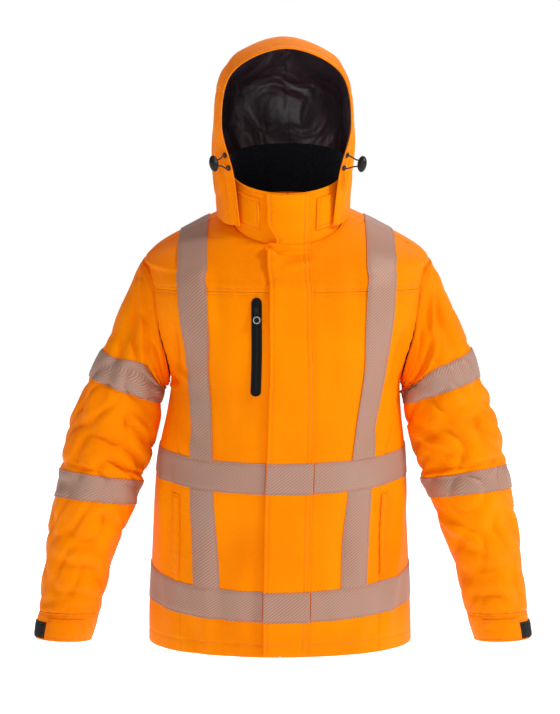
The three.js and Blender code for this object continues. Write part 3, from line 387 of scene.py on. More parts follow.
def sleeve(side, angle, place):
    # rings from the armhole's edge to the cuff, ellipses between an outer and an inner point, joined by
    # smooth curves, with the folds sunk to the nearest ring's middle
    angle, place = np.broadcast_arrays(np.asarray(angle, float), np.asarray(place, float))
    turn = (angle + 540) % 360 - 180
    level = mix(rowAt["shoulderPoint"], rowAt["underarm"], np.abs(turn) / 180)
    edge = halves(turn >= 0, np.full(turn.shape, float(side)), level)
    edge[..., 0] += side * 0.6
    c, s = np.cos(np.radians(angle)), np.sin(np.radians(angle))
    layers = [edge]
    keys = ("outX", "outZ", "inX", "inZ", "mid", "half")
    for k, (outX, outZ, inX, inZ, mid, half) in enumerate(zip(*(sleeveRings[key] for key in keys)), 1):
        z = mix(inZ, outZ, (1 + c) / 2)
        tipped = z + sleeveCut["tilt"] * smooth((k - 3) / 4) * half * s
        layers.append(np.stack([side * mix(inX, outX, (1 + c) / 2) + sleeveLean(z), mid - half * s, tipped], -1))
    point = layered(np.stack(layers), place)
    near = np.clip(np.round(place).astype(int) - 1, 0, 14)
    ring = {key: np.asarray(values, float)[near] for key, values in sleeveRings.items()}
    middle = np.stack([side * (ring["outX"] + ring["inX"]) / 2, ring["mid"], (ring["outZ"] + ring["inZ"]) / 2], -1)
    p, q = turn * sleeveCut["turnStep"], place * sleeveCut["ringStep"]
    turnStep, ringStep = sleeveCut["turnStep"], sleeveCut["ringStep"]
    folds = [(turn1 * turnStep, ring1 * ringStep, turn2 * turnStep, ring2 * ringStep, *shape)
             for which in ("both", "left" if side > 0 else "right")
             for ring1, turn1, ring2, turn2, *shape in sleeveFolds[which]]
    sink = foldSink(folds, p, q)
    ripple = np.cos(np.radians(angle) * 3 + q / 40)
    sink += 1.0 * puff(q, 60 * ripple, 19, side * 0.8)
    depth = 4 + 4.6 * bell(place, 7, 2.6) + 2.4 * bell(place, 11.6, 1.6)
    sink += depth * creased(q + 46 * s, 62 * c + 0.2 * q, 13, side * 1.7)
    sink *= smooth(place - 0.3) * smooth((sleeveCut["cuffEnd"] - place) / 2)
    away = middle - point
    return point + away / np.linalg.norm(away, axis=-1, keepdims=True) * sink[..., None]


def collar(turn, rise):
    # stands on the neck's edge and leans in at the front
    turn, rise = np.broadcast_arrays(np.asarray(turn, float), np.asarray(rise, float))
    around = (turn + 540) % 360 - 180
    front = np.abs(around) <= 90
    across = np.where(front, around / 90, np.sign(around) * (180 - np.abs(around)) / 90)
    foot = halves(front, across, np.full(turn.shape, float(rowAt["neck"])))
    foot[..., 0] = mix(foot[..., 0], foot[..., 0] * collarCut["flare"], rise)
    foot[..., 1] += 9 * rise * np.maximum(0, np.cos(np.radians(around)))
    foot[..., 2] += collarCut["foot"] + collarCut["height"] * rise
    return foot


def outOf(at, u, v, stepU, stepV):
    # the unit direction out of a surface, from two short steps on it
    du = at(u + stepU, v) - at(u - stepU, v)
    dv = at(u, v + stepV) - at(u, v - stepV)
    out = np.cross(du, dv)
    return out / np.maximum(1e-9, np.linalg.norm(out, axis=-1, keepdims=True))


def hood(across, back):
    # arches from the nape to the face, the first on the collar, joined by smooth curves
    across, back = np.broadcast_arrays(np.asarray(across, float), np.asarray(back, float))
    place = (1 - back) * 5
    side = np.where(across < 0, -1.0, 1.0)
    climb = (1 - np.abs(across)) * 4
    turn = 180 - across * hoodCut["napeTurn"]
    rise = np.full(turn.shape, hoodCut["napeRise"])
    nape = collar(turn, rise) + 2.8 * outOf(collar, turn, rise, 1e-3, 1e-3)
    nape[..., 0] -= bodyLean(nape[..., 2])
    layers = [nape]
    for xs, ys, zs in zip(hoodArches["x"], hoodArches["y"], hoodArches["z"]):
        point = [column([*values, mirror], climb) for values, mirror in ((xs, -xs[3]), (ys, ys[3]), (zs, zs[3]))]
        layers.append(np.stack([point[0] * side, point[1], point[2]], -1))
    point = layered(np.stack(layers), place)
    point[..., 0] += 6 * (1 - smooth(place / 2)) + 5 * smooth((place - 3.5) / 1.5)
    return point


def hoodDressed(across, back):
    # the hood's arches with their folds sunk towards the head
    point = hood(across, back)
    across, back = np.broadcast_arrays(np.asarray(across, float), np.asarray(back, float))
    p, q = across * 300, back * 330
    folds = [(a * 300, b * 330, c * 300, d * 330, deep, wide, ridge) for a, b, c, d, deep, wide, ridge in hoodFolds]
    sink = foldSink(folds, p, q) + 1.2 * puff(p, q, 17, 0.6)
    sink *= smooth(back / 0.08) * smooth((1 - back) / 0.1) * smooth((1 - np.abs(across)) / 0.06)
    away = np.array([6.0, 0, 110]) - point
    return point + away / np.linalg.norm(away, axis=-1, keepdims=True) * sink[..., None]


def fore(x, level):
    # the front at x from the middle: the body up to the neck, then the collar
    x, level = np.broadcast_arrays(np.asarray(x, float), np.asarray(level, float))
    low = body("front", acrossAt("front", x, np.minimum(level, 12)), np.minimum(level, 12))
    high = collar(np.degrees(np.arcsin(np.clip(x / rowEnds["x"][-1], -1, 1))), np.maximum(0, level - 12))
    return np.where((level <= 12)[..., None], low, high)


print("stage: surfaces")


def linear(colour):
    # an sRGB hex value as linear red, green, blue and alpha
    parts = [int(colour[k:k + 2], 16) / 255 for k in (1, 3, 5)]
    return (*(c / 12.92 if c <= 0.04045 else ((c + 0.055) / 1.055) ** 2.4 for c in parts), 1)


def addNode(tree, kind, options=None, values=None):
    # adds a node, sets its options, and sets each input to a value or links it to another node's output
    node = tree.nodes.new(kind)
    for key, value in (options or {}).items():
        setattr(node, key, value)
    for key, value in (values or {}).items():
        if isinstance(value, bpy.types.NodeSocket):
            tree.links.new(value, node.inputs[key])
        else:
            node.inputs[key].default_value = value
    return node


def ramp(tree, factor, stops):
    # a colour ramp with the given places and hex colours
    node = addNode(tree, "ShaderNodeValToRGB", None, {"Fac": factor})
    while len(node.color_ramp.elements) < len(stops):
        node.color_ramp.elements.new(0.5)
    for element, (place, colour) in zip(node.color_ramp.elements, stops):
        element.position = place
        element.color = linear(colour)
    return node.outputs["Color"]


def newMaterial(name, settings):
    material = bpy.data.materials.new(name)
    material.use_nodes = True
    tree = material.node_tree
    shader = tree.nodes["Principled BSDF"]
    for key, value in settings.items():
        shader.inputs[key].default_value = value
    return material, tree, shader


def bumped(tree, shader, heights):
    # one bump after another, each from a height, how far it stands in metres and its strength
    normal = None
    for height, distance, strength in heights:
        values = {"Height": height, "Distance": distance, "Strength": strength}
        if normal is not None:
            values["Normal"] = normal
        normal = addNode(tree, "ShaderNodeBump", None, values).outputs["Normal"]
    tree.links.new(normal, shader.inputs["Normal"])


def noise(tree, vector, scale, detail=3.0, rough=0.5, warp=0.0):
    node = addNode(tree, "ShaderNodeTexNoise", None,
                   {"Vector": vector, "Scale": scale, "Detail": detail, "Roughness": rough, "Distortion": warp})
    return node.outputs["Fac"]


# Woven cloth is bumped by two crossed bands. A wave texture repeats every 0.314 / scale metres, so a
# 0.9 mm thread pair is scale 349. Real threads of 0.3 mm would not show, so they are drawn three times
# as coarse.
cloth = {"thread": 0.0009, "liningThread": 0.0008, "crinkle": 0.016}


def weave(tree, uv, pitch):
    bands = [addNode(tree, "ShaderNodeTexWave", {"wave_type": "BANDS", "bands_direction": axis},
                     {"Vector": uv, "Scale": 0.314 / pitch, "Distortion": 0.4, "Detail": 1.0}).outputs["Fac"]
             for axis in ("X", "Y")]
    return addNode(tree, "ShaderNodeMath", {"operation": "MAXIMUM"}, {0: bands[0], 1: bands[1]}).outputs[0]


# Fluorescent polyester, woven and coated on the back: a flat, bright, faintly waxy face with a painted glow, a
# steady red-orange emission that lights it even in shade and reddens its folds. It dips along the padding and shows
# its weave only close by.
def coatedPolyester():
    material, tree, shader = newMaterial("coatedPolyesterWoven", {
        "Roughness": 0.62, "Specular IOR Level": 0.2, "IOR": 1.5, "Specular Tint": linear("#FFA848"),
        "Sheen Weight": 0.05, "Sheen Roughness": 0.45, "Sheen Tint": linear("#FF9A38"),
        # the emission is a painted glow: it lights the cloth everywhere, lamp or not, and turns its shade and folds
        # red
        "Emission Color": linear("#FF2C00"), "Emission Strength": 0.18})
    place = addNode(tree, "ShaderNodeTexCoord").outputs
    patches = noise(tree, place["Object"], 7.0, 2.0)
    grain = noise(tree, place["Object"], 260.0, 2.0)
    both = addNode(tree, "ShaderNodeMath", {"operation": "MULTIPLY_ADD"}, {0: grain, 1: 0.25, 2: patches}).outputs[0]
    tone = ramp(tree, both, [(0.38, "#E07E00"), (0.62, "#E88700"), (0.86, "#EE9000")])
    tree.links.new(tone, shader.inputs["Base Color"])
    crinkle = noise(tree, place["Object"], 1 / cloth["crinkle"], 4.0, 0.55, 0.6)
    small = noise(tree, place["Object"], 210.0, 3.0, 0.6, 0.8)
    threads = weave(tree, place["UV"], cloth["thread"])
    bumped(tree, shader, [(crinkle, 0.004, 0.22), (small, 0.0008, 0.25), (threads, 0.00025, 0.35)])
    return material


# Segmented tape: strips of glass beads welded over the fluorescent cloth. It looks rose grey, with fine
# slanted lines where the ground shows, and a little flatter than the cloth. The real lines are too fine
# to show, so they are drawn 4 mm apart.
tape = {"width": 50, "thick": 0.8, "line": 0.0040, "slant": 52, "lift": 0.5, "armLift": 1.2,
        "shoulderLift": 1.5, "row": 2.5}


def segmentedTape():
    material, tree, shader = newMaterial("reflectiveTapeWelded", {
        "Roughness": 0.55, "Metallic": 0.1, "Specular IOR Level": 0.3, "IOR": 1.5, "Sheen Weight": 0.05})
    place = addNode(tree, "ShaderNodeTexCoord").outputs
    turned = {"Vector": place["UV"], "Rotation": (0, 0, math.radians(tape["slant"]))}
    slant = addNode(tree, "ShaderNodeMapping", None, turned).outputs[0]
    lines = addNode(tree, "ShaderNodeTexWave", {"wave_type": "BANDS", "bands_direction": "X"},
                    {"Vector": slant, "Scale": 0.314 / tape["line"], "Distortion": 0.0}).outputs["Fac"]
    beads = noise(tree, place["Object"], 900.0, 2.0, 0.6)
    patches = noise(tree, place["Object"], 11.0, 2.0)
    worn = addNode(tree, "ShaderNodeMath", {"operation": "MULTIPLY_ADD"}, {0: patches, 1: 0.5, 2: lines}).outputs[0]
    face = ramp(tree, worn, [(0.3, "#B06C48"), (0.62, "#AA8A7C"), (1.0, "#AC9084")])
    tree.links.new(face, shader.inputs["Base Color"])
    crinkle = noise(tree, place["Object"], 55.0, 3.0)
    bumped(tree, shader, [(crinkle, 0.002, 0.18), (lines, 0.0003, 0.5), (beads, 0.0001, 0.3)])
    return material


# Brushed polyester fleece: short black fibres with no shine, lighter where they stand on end.
def brushedFleece():
    material, tree, shader = newMaterial("fleeceBrushed", {
        "Roughness": 0.95, "Specular IOR Level": 0.12, "IOR": 1.5, "Sheen Weight": 0.25, "Sheen Roughness": 0.6,
        "Sheen Tint": linear("#8A8A98")})
    place = addNode(tree, "ShaderNodeTexCoord").outputs
    fibres = noise(tree, place["Object"], 420.0, 4.0, 0.7)
    tufts = noise(tree, place["Object"], 60.0, 3.0)
    tree.links.new(ramp(tree, fibres, [(0.35, "#0D0D10"), (0.7, "#24242A")]), shader.inputs["Base Color"])
    bumped(tree, shader, [(tufts, 0.003, 0.35), (fibres, 0.0012, 0.8)])
    return material


# Calendered taffeta: a thin dark lining whose pressed face shines softly along every small crease.
def calenderedTaffeta():
    material, tree, shader = newMaterial("taffetaCalendered", {
        "Roughness": 0.33, "Specular IOR Level": 0.7, "IOR": 1.52, "Sheen Weight": 0.12, "Sheen Roughness": 0.3,
        "Sheen Tint": linear("#8A7480")})
    place = addNode(tree, "ShaderNodeTexCoord").outputs
    patches = noise(tree, place["Object"], 14.0, 3.0)
    tone = ramp(tree, patches, [(0.3, "#2A2026"), (0.55, "#362A31"), (0.8, "#43363D")])
    tree.links.new(tone, shader.inputs["Base Color"])
    crease = noise(tree, place["Object"], 15.0, 2.0, 0.5, 0.8)
    fine = noise(tree, place["Object"], 70.0, 3.0, 0.55, 1.0)
    threads = weave(tree, place["UV"], cloth["liningThread"])
    bumped(tree, shader, [(crease, 0.02, 0.6), (fine, 0.002, 0.3), (threads, 0.0002, 0.3)])
    return material


# Braided polyester cord with an elastic core: small slanted black strands with light on their crowns.
def braidedCord():
    material, tree, shader = newMaterial("elasticCordBraided", {
        "Roughness": 0.6, "Specular IOR Level": 0.4, "IOR": 1.5, "Sheen Weight": 0.3})
    place = addNode(tree, "ShaderNodeTexCoord").outputs
    shape = {"Vector": place["Object"], "Scale": 0.314 / 0.0011, "Distortion": 1.5, "Detail": 1.0}
    bands = {"wave_type": "BANDS", "bands_direction": "DIAGONAL"}
    strands = addNode(tree, "ShaderNodeTexWave", bands, shape).outputs["Fac"]
    tree.links.new(ramp(tree, strands, [(0.2, "#060606"), (0.8, "#1A1A1C")]), shader.inputs["Base Color"])
    bumped(tree, shader, [(strands, 0.0004, 0.7)])
    return material


# Acetal, injection moulded in a finely spark-eroded mould: black, satin, with a very fine grain.
acetal = {"Roughness": 0.45, "IOR": 1.48, "Specular IOR Level": 0.35}


def mouldedAcetal():
    material, tree, shader = newMaterial("acetalMoulded", acetal)
    place = addNode(tree, "ShaderNodeTexCoord").outputs
    grain = noise(tree, place["Object"], 1600.0, 3.0, 0.6)
    patches = noise(tree, place["Object"], 60.0, 2.0)
    tree.links.new(ramp(tree, patches, [(0.3, "#070708"), (0.7, "#0F0F11")]), shader.inputs["Base Color"])
    bumped(tree, shader, [(grain, 0.00012, 0.35)])
    return material


# Laminated zip tape: woven tape under a smooth polyurethane film, black with a rubbery gleam.
def laminatedZipTape():
    material, tree, shader = newMaterial("zipTapeLaminated", {
        "Roughness": 0.6, "IOR": 1.5, "Specular IOR Level": 0.15})
    place = addNode(tree, "ShaderNodeTexCoord").outputs
    ribs = addNode(tree, "ShaderNodeTexWave", {"wave_type": "BANDS", "bands_direction": "Y"},
                   {"Vector": place["UV"], "Scale": 0.314 / 0.0016, "Distortion": 0.2}).outputs["Fac"]
    tree.links.new(ramp(tree, ribs, [(0.2, "#030303"), (0.9, "#0A0808")]), shader.inputs["Base Color"])
    bumped(tree, shader, [(ribs, 0.0003, 0.5)])
    return material


# Hook tape: nylon woven with rows of tiny cut loops, black and rough.
def wovenHooks():
    material, tree, shader = newMaterial("hookTapeWoven", {
        "Roughness": 0.85, "IOR": 1.53, "Specular IOR Level": 0.3})
    place = addNode(tree, "ShaderNodeTexCoord").outputs
    hooks = addNode(tree, "ShaderNodeTexVoronoi", {"feature": "F1"},
                    {"Vector": place["Object"], "Scale": 620.0}).outputs["Distance"]
    tree.links.new(ramp(tree, hooks, [(0.0, "#26262A"), (0.5, "#0B0B0C")]), shader.inputs["Base Color"])
    bumped(tree, shader, [(hooks, 0.0008, 0.9)])
    return material


# Polyester thread, spun and dyed to the cloth: a twisted, slightly shiny strand.
def spunThread(name, dark, light):
    material, tree, shader = newMaterial(name, {
        "Roughness": 0.5, "IOR": 1.5, "Specular IOR Level": 0.45, "Sheen Weight": 0.2})
    place = addNode(tree, "ShaderNodeTexCoord").outputs
    twist = noise(tree, place["Object"], 1100.0, 2.0)
    tree.links.new(ramp(tree, twist, [(0.3, dark), (0.7, light)]), shader.inputs["Base Color"])
    bumped(tree, shader, [(twist, 0.0002, 0.5)])
    return material


# The pull tab's acetal with a plain pale ring printed near its edge, by the distance from the disc's
# centre: the ring's two radii and the distance that the ramp spans, in millimetres.
pullDisc = {"centre": (-41.25, -140.6, -162.6), "inner": 4.6, "outer": 5.7, "span": 10}


def ringedAcetal():
    material, tree, shader = newMaterial("acetalWithRing", acetal)
    place = addNode(tree, "ShaderNodeTexCoord").outputs
    away = addNode(tree, "ShaderNodeVectorMath", {"operation": "DISTANCE"},
                   {0: place["Object"], 1: tuple(value / 1000 for value in pullDisc["centre"])}).outputs["Value"]
    share = addNode(tree, "ShaderNodeMath", {"operation": "DIVIDE"},
                    {0: away, 1: pullDisc["span"] / 1000}).outputs[0]
    inner, outer = pullDisc["inner"] / pullDisc["span"], pullDisc["outer"] / pullDisc["span"]
    tone = ramp(tree, share, [(inner, "#08080A"), (inner + 0.02, "#A8A8A6"), (outer, "#A8A8A6"),
                              (outer + 0.02, "#08080A")])
    tree.links.new(tone, shader.inputs["Base Color"])
    bumped(tree, shader, [(noise(tree, place["Object"], 1600.0, 3.0, 0.6), 0.00012, 0.35)])
    return material


finishes = {
    "shell": coatedPolyester(), "tape": segmentedTape(), "fleece": brushedFleece(), "lining": calenderedTaffeta(),
    "cord": braidedCord(), "trim": mouldedAcetal(), "ringed": ringedAcetal(), "zipTape": laminatedZipTape(),
    "hooks": wovenHooks(),
    "threadOrange": spunThread("polyesterThreadOrange", "#D86400", "#F08400"),
    "threadBlack": spunThread("polyesterThreadBlack", "#0A0A0A", "#1C1C1E"),
}
print("stage: materials")


def meshOf(name, points, faces, finish, uv=None):
    # points in millimetres become a smooth mesh in metres, riding on the garment
    mesh = bpy.data.meshes.new(name)
    mesh.from_pydata((points / 1000).tolist(), [], faces)
    mesh.polygons.foreach_set("use_smooth", np.ones(len(mesh.polygons), bool))
    if uv is not None:
        corner = np.empty(len(mesh.loops), np.int32)
        mesh.loops.foreach_get("vertex_index", corner)
        layer = mesh.uv_layers.new(name="clothMetres")
        layer.data.foreach_set("uv", (uv[corner] / 1000).astype(np.float32).ravel())
    mesh.materials.append(finishes[finish])
    thing = bpy.data.objects.new(name, mesh)
    bpy.context.scene.collection.objects.link(thing)
    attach(thing, "garment")
    madePieces[name] = thing
    return thing


def spaced(size, step, marks):
    # shares of a length from 0 to 1: even steps, with more lines at both ends and around each mark
    even = np.linspace(0, 1, max(3, int(round(size / step)) + 1))
    extra = [0.7, 1.6, 2.8, 4.4]
    more = [d / size for d in extra] + [1 - d / size for d in extra]
    for mark in marks:
        at = mark / size if mark >= 0 else 1 + mark / size
        more += [at - 2.2 / size, at - 1 / size, at, at + 1 / size, at + 2.2 / size]
    found = np.unique(np.concatenate([even, [m for m in more if 0 < m < 1]]))
    keep = [0.0]
    for value in found[1:]:
        if value - keep[-1] > 0.45 / size or value == 1:
            keep.append(value)
    if keep[-1] - keep[-2] < 0.45 / size:
        keep.pop(-2)
    return np.array(keep)


allFree = ("free",) * 4
# Stitches, their groove and the valley along a seam, all in millimetres.
sewing = {"pitch": 3.6, "long": 2.9, "radius": 0.42, "groove": 0.75, "grooveWide": 1.7, "valley": 1.0,
          "valleyWide": 3.2}
# Gathers beside a seam and beside a row of stitches: how high, the length of their wave, how much it
# drifts and how slowly, and how far from the thread they die away.
gathers = {"seam": (0.45, 2.9, 2.2, 19, 9), "row": (0.28, 2.3, 2, 23, 6)}
threadRuns = {"threadOrange": [], "threadBlack": []}


def stepLength(grid, axis):
    # running length in millimetres along one axis of a grid of points
    parts = np.linalg.norm(np.diff(grid, axis=axis), axis=-1)
    return np.concatenate([np.zeros_like(np.take(parts, [0], axis)), np.cumsum(parts, axis)], axis)


def gathered(kind, along, distance):
    high, wave, drift, slow, wide = gathers[kind]
    return high * np.sin(along / wave + drift * np.sin(along / slow)) * bell(distance, 0, wide)


def wall(name, at, spanU, spanV, low, high, finish, replaced, edges=("sewn",) * 4, rows=(), step=4.2,
         closed=False, relief=None, thread="threadOrange", trim=0.2, inside=None):
    # a closed wall on a surface. Its two faces lie low and high outside the surface. Towards a free edge
    # the outer face rounds off by a quarter circle. Towards a sewn edge it sinks into a valley with small
    # puckers. Each row of stitches runs at its distance from one edge, in a groove of its own.
    ends = spanU if callable(spanU) else lambda v: (np.full_like(v, spanU[0]), np.full_like(v, spanU[1]))
    probe = np.linspace(spanV[0], spanV[1], 40)
    u0, u1 = ends(probe)
    middle = at((u0 + u1) / 2, probe)
    sizeV = np.linalg.norm(np.diff(middle, axis=0), axis=-1).sum()
    s = np.linspace(0, 1, 60)[:, None]
    sizeU = np.linalg.norm(np.diff(at(u0 + (u1 - u0) * s, probe + 0 * s), axis=0), axis=-1).sum(0).max()
    marks = {side: [m for where, m in rows if where == side] for side in ("left", "right", "bottom", "top")}
    fromEnds = lambda near, far: marks[near] + [-mark for mark in marks[far]]
    shareU = np.linspace(0, 1, int(sizeU / step) + 1) if closed else spaced(sizeU, step, fromEnds("left", "right"))
    shareV = spaced(sizeV, step, fromEnds("bottom", "top"))
    gapV = [trim / sizeV if edges[k] == "sewn" else 0 for k in (2, 3)]
    v = (spanV[0] + (spanV[1] - spanV[0]) * mix(gapV[0], 1 - gapV[1], shareV))[:, None]
    u0, u1 = ends(v)
    gapU = [0, 0] if closed else [trim / sizeU if edges[k] == "sewn" else 0 for k in (0, 1)]
    u = u0 + (u1 - u0) * mix(gapU[0], 1 - gapU[1], shareU)[None, :]
    if closed:
        u = u[:, :-1]
    grid = at(u, v + 0 * u)
    if closed:
        du = np.roll(grid, -1, 1) - np.roll(grid, 1, 1)
    else:
        du = np.gradient(grid, axis=1)
    out = np.cross(du, np.gradient(grid, axis=0))
    out /= np.maximum(1e-9, np.linalg.norm(out, axis=-1, keepdims=True))
    alongU = stepLength(grid, 1)
    alongV = stepLength(grid, 0)
    far = {"left": alongU, "right": alongU[:, -1:] - alongU, "bottom": alongV, "top": alongV[-1:, :] - alongV}
    if closed:
        far["left"] = far["right"] = np.full_like(alongU, 1e3)
    kind = dict(zip(("left", "right", "bottom", "top"), edges))
    across = {"left": alongV, "right": alongV, "bottom": alongU, "top": alongU}
    thick = high - low
    sink = np.zeros_like(alongU)
    for side, distance in far.items():
        if kind[side] == "free":
            radius = min(thick / 2, 1.6)
            d = np.clip(1 - distance / radius, 0, 1)
            sink = np.maximum(sink, radius * (1 - np.sqrt(1 - d * d)) * min(1, thick * 0.48 / radius))
        elif kind[side] == "sewn":
            sink = sink + sewing["valley"] * bell(distance, 0, sewing["valleyWide"])
            sink = sink + gathered("seam", across[side], distance)
    for side, mark in rows:
        distance = far[side] - mark
        sink = sink + sewing["groove"] * bell(distance, 0, sewing["grooveWide"])
        sink = sink + gathered("row", across[side], distance)
    if relief is not None:
        sink = sink - relief(u, v + 0 * u, far)
    shift = np.minimum(sink, 0.85 * thick) if low > 0 else sink
    outer = grid + out * (high - shift)[..., None]
    inner = grid + out * (low + np.minimum(0, high - shift - low - 0.3))[..., None]
    nv, nu = outer.shape[:2]
    index = np.arange(nv * nu).reshape(nv, nu)
    if closed:
        index = np.concatenate([index, index[:, :1]], 1)
    a, b, c, d = index[:-1, :-1], index[:-1, 1:], index[1:, 1:], index[1:, :-1]
    count = nv * nu
    quads = [np.stack([a, b, c, d], -1).reshape(-1, 4), np.stack([a, d, c, b], -1).reshape(-1, 4) + count]
    rim = [(index[0, :-1], index[0, 1:], False), (index[-1, :-1], index[-1, 1:], True)]
    if not closed:
        rim += [(index[:-1, 0], index[1:, 0], True), (index[:-1, -1], index[1:, -1], False)]
    for start, end, turned in rim:
        ring = [start, start + count, end + count, end]
        quads.append(np.stack(ring[::-1] if turned else ring, -1).reshape(-1, 4))
    uv = np.stack([alongU, alongV], -1).reshape(-1, 2)
    points = np.concatenate([outer.reshape(-1, 3), inner.reshape(-1, 3)])
    thing = meshOf(name, points, np.concatenate(quads).tolist(), finish, np.concatenate([uv, uv]))
    if inside:
        # the second block of faces is the wall's inner side
        thing.data.materials.append(finishes[inside])
        shade = np.zeros(len(thing.data.polygons), np.int32)
        shade[len(quads[0]):2 * len(quads[0])] = 1
        thing.data.polygons.foreach_set("material_index", shade)
    if replaced:
        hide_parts(*([replaced] if isinstance(replaced, str) else replaced))
    for side, mark in rows:
        # the row's path: where each line of the grid reaches that distance from the edge
        lines = far[side] if side in ("bottom", "top") else far[side].T
        points = outer if side in ("bottom", "top") else outer.transpose(1, 0, 2)
        outs = out if side in ("bottom", "top") else out.transpose(1, 0, 2)
        if side in ("top", "right"):
            lines, points, outs = lines[::-1], points[::-1], outs[::-1]
        k = np.clip((lines < mark).sum(0) - 1, 0, lines.shape[0] - 2)
        i = np.arange(lines.shape[1])
        t = ((mark - lines[k, i]) / np.maximum(1e-6, lines[k + 1, i] - lines[k, i]))[:, None]
        path = mix(points[k, i], points[k + 1, i], t)
        normal = mix(outs[k, i], outs[k + 1, i], t)
        if closed:
            path, normal = np.concatenate([path, path[:1]]), np.concatenate([normal, normal[:1]])
        threadRuns[thread].append((path, normal))
    return thing


def spindles(name, runs, finish, shape=sewing, crosswise=False):
    # a row of stitches or teeth on each path: small grains, fat in the middle and pointed at both ends, laid
    # along the path, or across it
    starts, alongs, ups = [], [], []
    for path, normal in runs:
        length = np.concatenate([[0], np.cumsum(np.linalg.norm(np.diff(path, axis=0), axis=-1))])
        if length[-1] < 2 * shape["pitch"]:
            continue
        centres = np.arange(shape["pitch"], length[-1] - shape["pitch"] / 2, shape["pitch"])
        pick = lambda values, at: np.stack([np.interp(at, length, values[:, k]) for k in range(3)], -1)
        starts.append(pick(path, centres) + pick(normal, centres) * shape["radius"] * 0.35)
        alongs.append(pick(path, centres + 0.6) - pick(path, centres - 0.6))
        ups.append(pick(normal, centres))
    centre, forward, up = (np.concatenate(part) for part in (starts, alongs, ups))
    forward /= np.linalg.norm(forward, axis=-1, keepdims=True)
    across = np.cross(forward, up)
    across /= np.linalg.norm(across, axis=-1, keepdims=True)
    up = np.cross(across, forward)
    if crosswise:
        forward, across = across, -forward
    half, radius = shape["long"] / 2, shape["radius"]
    stations = [(-half * 0.62, 0.8), (half * 0.62, 0.8)]
    corners = [centre - forward * half - up * radius * 0.6]
    for place, wide in stations:
        for angle in (45, 135, 225, 315):
            turn = math.radians(angle)
            aside = across * math.cos(turn) + up * math.sin(turn)
            corners.append(centre + forward * place + aside * radius * wide)
    corners.append(centre + forward * half - up * radius * 0.6)
    points = np.stack(corners, 1)
    cell = [(0, 2, 1), (0, 3, 2), (0, 4, 3), (0, 1, 4), (9, 5, 6), (9, 6, 7), (9, 7, 8), (9, 8, 5)]
    sidesOf = [(1, 2, 6, 5), (2, 3, 7, 6), (3, 4, 8, 7), (4, 1, 5, 8)]
    base = (np.arange(len(centre)) * 10)[:, None, None]
    faces = (base + np.array(cell)).reshape(-1, 3).tolist() + (base + np.array(sidesOf)).reshape(-1, 4).tolist()
    return meshOf(name, points.reshape(-1, 3), faces, finish)


print("stage: makers")

# The shell: fronts, yokes, side panels and back, from the solids' own lines. The hem is turned up and
# stitched 21 mm from its edge.
hem = {"stitch": 21, "seamStitch": 5}


def frontAt(u, v):
    return body("front", u, v)


def backAt(u, v):
    return body("back", -u, v)


def beside(side, near, far):
    # the span from near to far on the left of the middle, or its mirror on the right
    return lambda level: (near(level), far(level)) if side > 0 else (-far(level), -near(level))


def makeBody():
    hemRow, seamRow = ("bottom", hem["stitch"]), ("top", hem["seamStitch"])
    slit = lambda level: acrossAt("front", bodyCut["zipHalf"], level)
    for name, side in sides.items():
        lower = ("free", "sewn") if side > 0 else ("sewn", "free")
        wall(f"front_{name}_cloth", frontAt, beside(side, slit, lambda level: seamAt("front", level)), (0, 8),
             -2, 0, "shell", f"front_{name}", (*lower, "free", "sewn"), [hemRow, seamRow], inside="lining")
        wall(f"yoke_{name}_cloth", frontAt, beside(side, slit, lambda level: np.ones_like(level)), (8, 12),
             -2, 0, "shell", f"yoke_{name}", (*lower, "sewn", "sewn"), [("bottom", hem["seamStitch"])],
             inside="lining")

        def sideAt(turn, level, side=side):
            u, level = np.broadcast_arrays(side * turn, level)
            share = [side * (1 - np.abs(u) * (1 - seamAt(half, level))) for half in ("front", "back")]
            return np.where((u <= 0)[..., None], body("front", share[0], level), body("back", share[1], level))

        wall(f"side_{name}_cloth", sideAt, (-1, 1), (0, rowAt["underarm"] - 0.15), -2, 0, "shell", f"side_{name}",
             ("sewn", "sewn", "free", "none"), [hemRow], inside="lining")
    outer = lambda level: seamAt("back", level)
    wall("back_cloth", backAt, lambda level: (-outer(level), outer(level)), (0, 12), -2, 0, "shell", "back",
         ("sewn", "sewn", "free", "sewn"), [hemRow, seamRow], inside="lining")


makeBody()
print("stage: body")


def tucked(u, level, far):
    # the seam allowance: the first 6 mm lie under the next panel
    return -2.6 * smooth((7.5 - far["bottom"]) / 2.5)


def makeSleeves():
    for name, side in sides.items():
        at = lambda turn, place, side=side: sleeve(side, side * turn, place)
        wall(f"sleeve_{name}_cloth", at, (0, 360), (-0.14, 14), -2, 0, "shell", f"sleeve_{name}",
             ("none", "none", "none", "sewn"), [("bottom", 11)], closed=True, inside="lining", relief=tucked)
        wall(f"cuff_{name}_cloth", at, (0, 360), (14, 15), -2, 0, "shell", f"cuff_{name}",
             ("none", "none", "sewn", "free"), [("bottom", 4), ("top", 5)], closed=True, inside="lining")
        turned = lambda a, b: (a, b) if side > 0 else (-b, -a)
        wall(f"cuffTab_{name}", at, turned(56, 128), (14.2, 14.93), 1.1, 3.1, "shell", f"cuff_tab_{name}",
             allFree, [("left", 3), ("right", 3), ("bottom", 3), ("top", 3)], step=3)
        wall(f"cuffHookTape_{name}", at, turned(-14, 54), (14.36, 14.93), 1.1, 2.5, "hooks", f"cuff_hook_tape_{name}",
             allFree, [("left", 2), ("right", 2), ("bottom", 2), ("top", 2)], step=3, thread="threadBlack")


makeSleeves()
print("stage: sleeves")


def fleeceAt(turn, rise):
    # the collar; at the back the fleece stands over the shell's top edge
    point = collar(turn, rise)
    point[..., 2] += 3.2 * smooth((rise - 0.9) / 0.09) * smooth(-np.cos(np.radians(turn)) / 0.4)
    return point


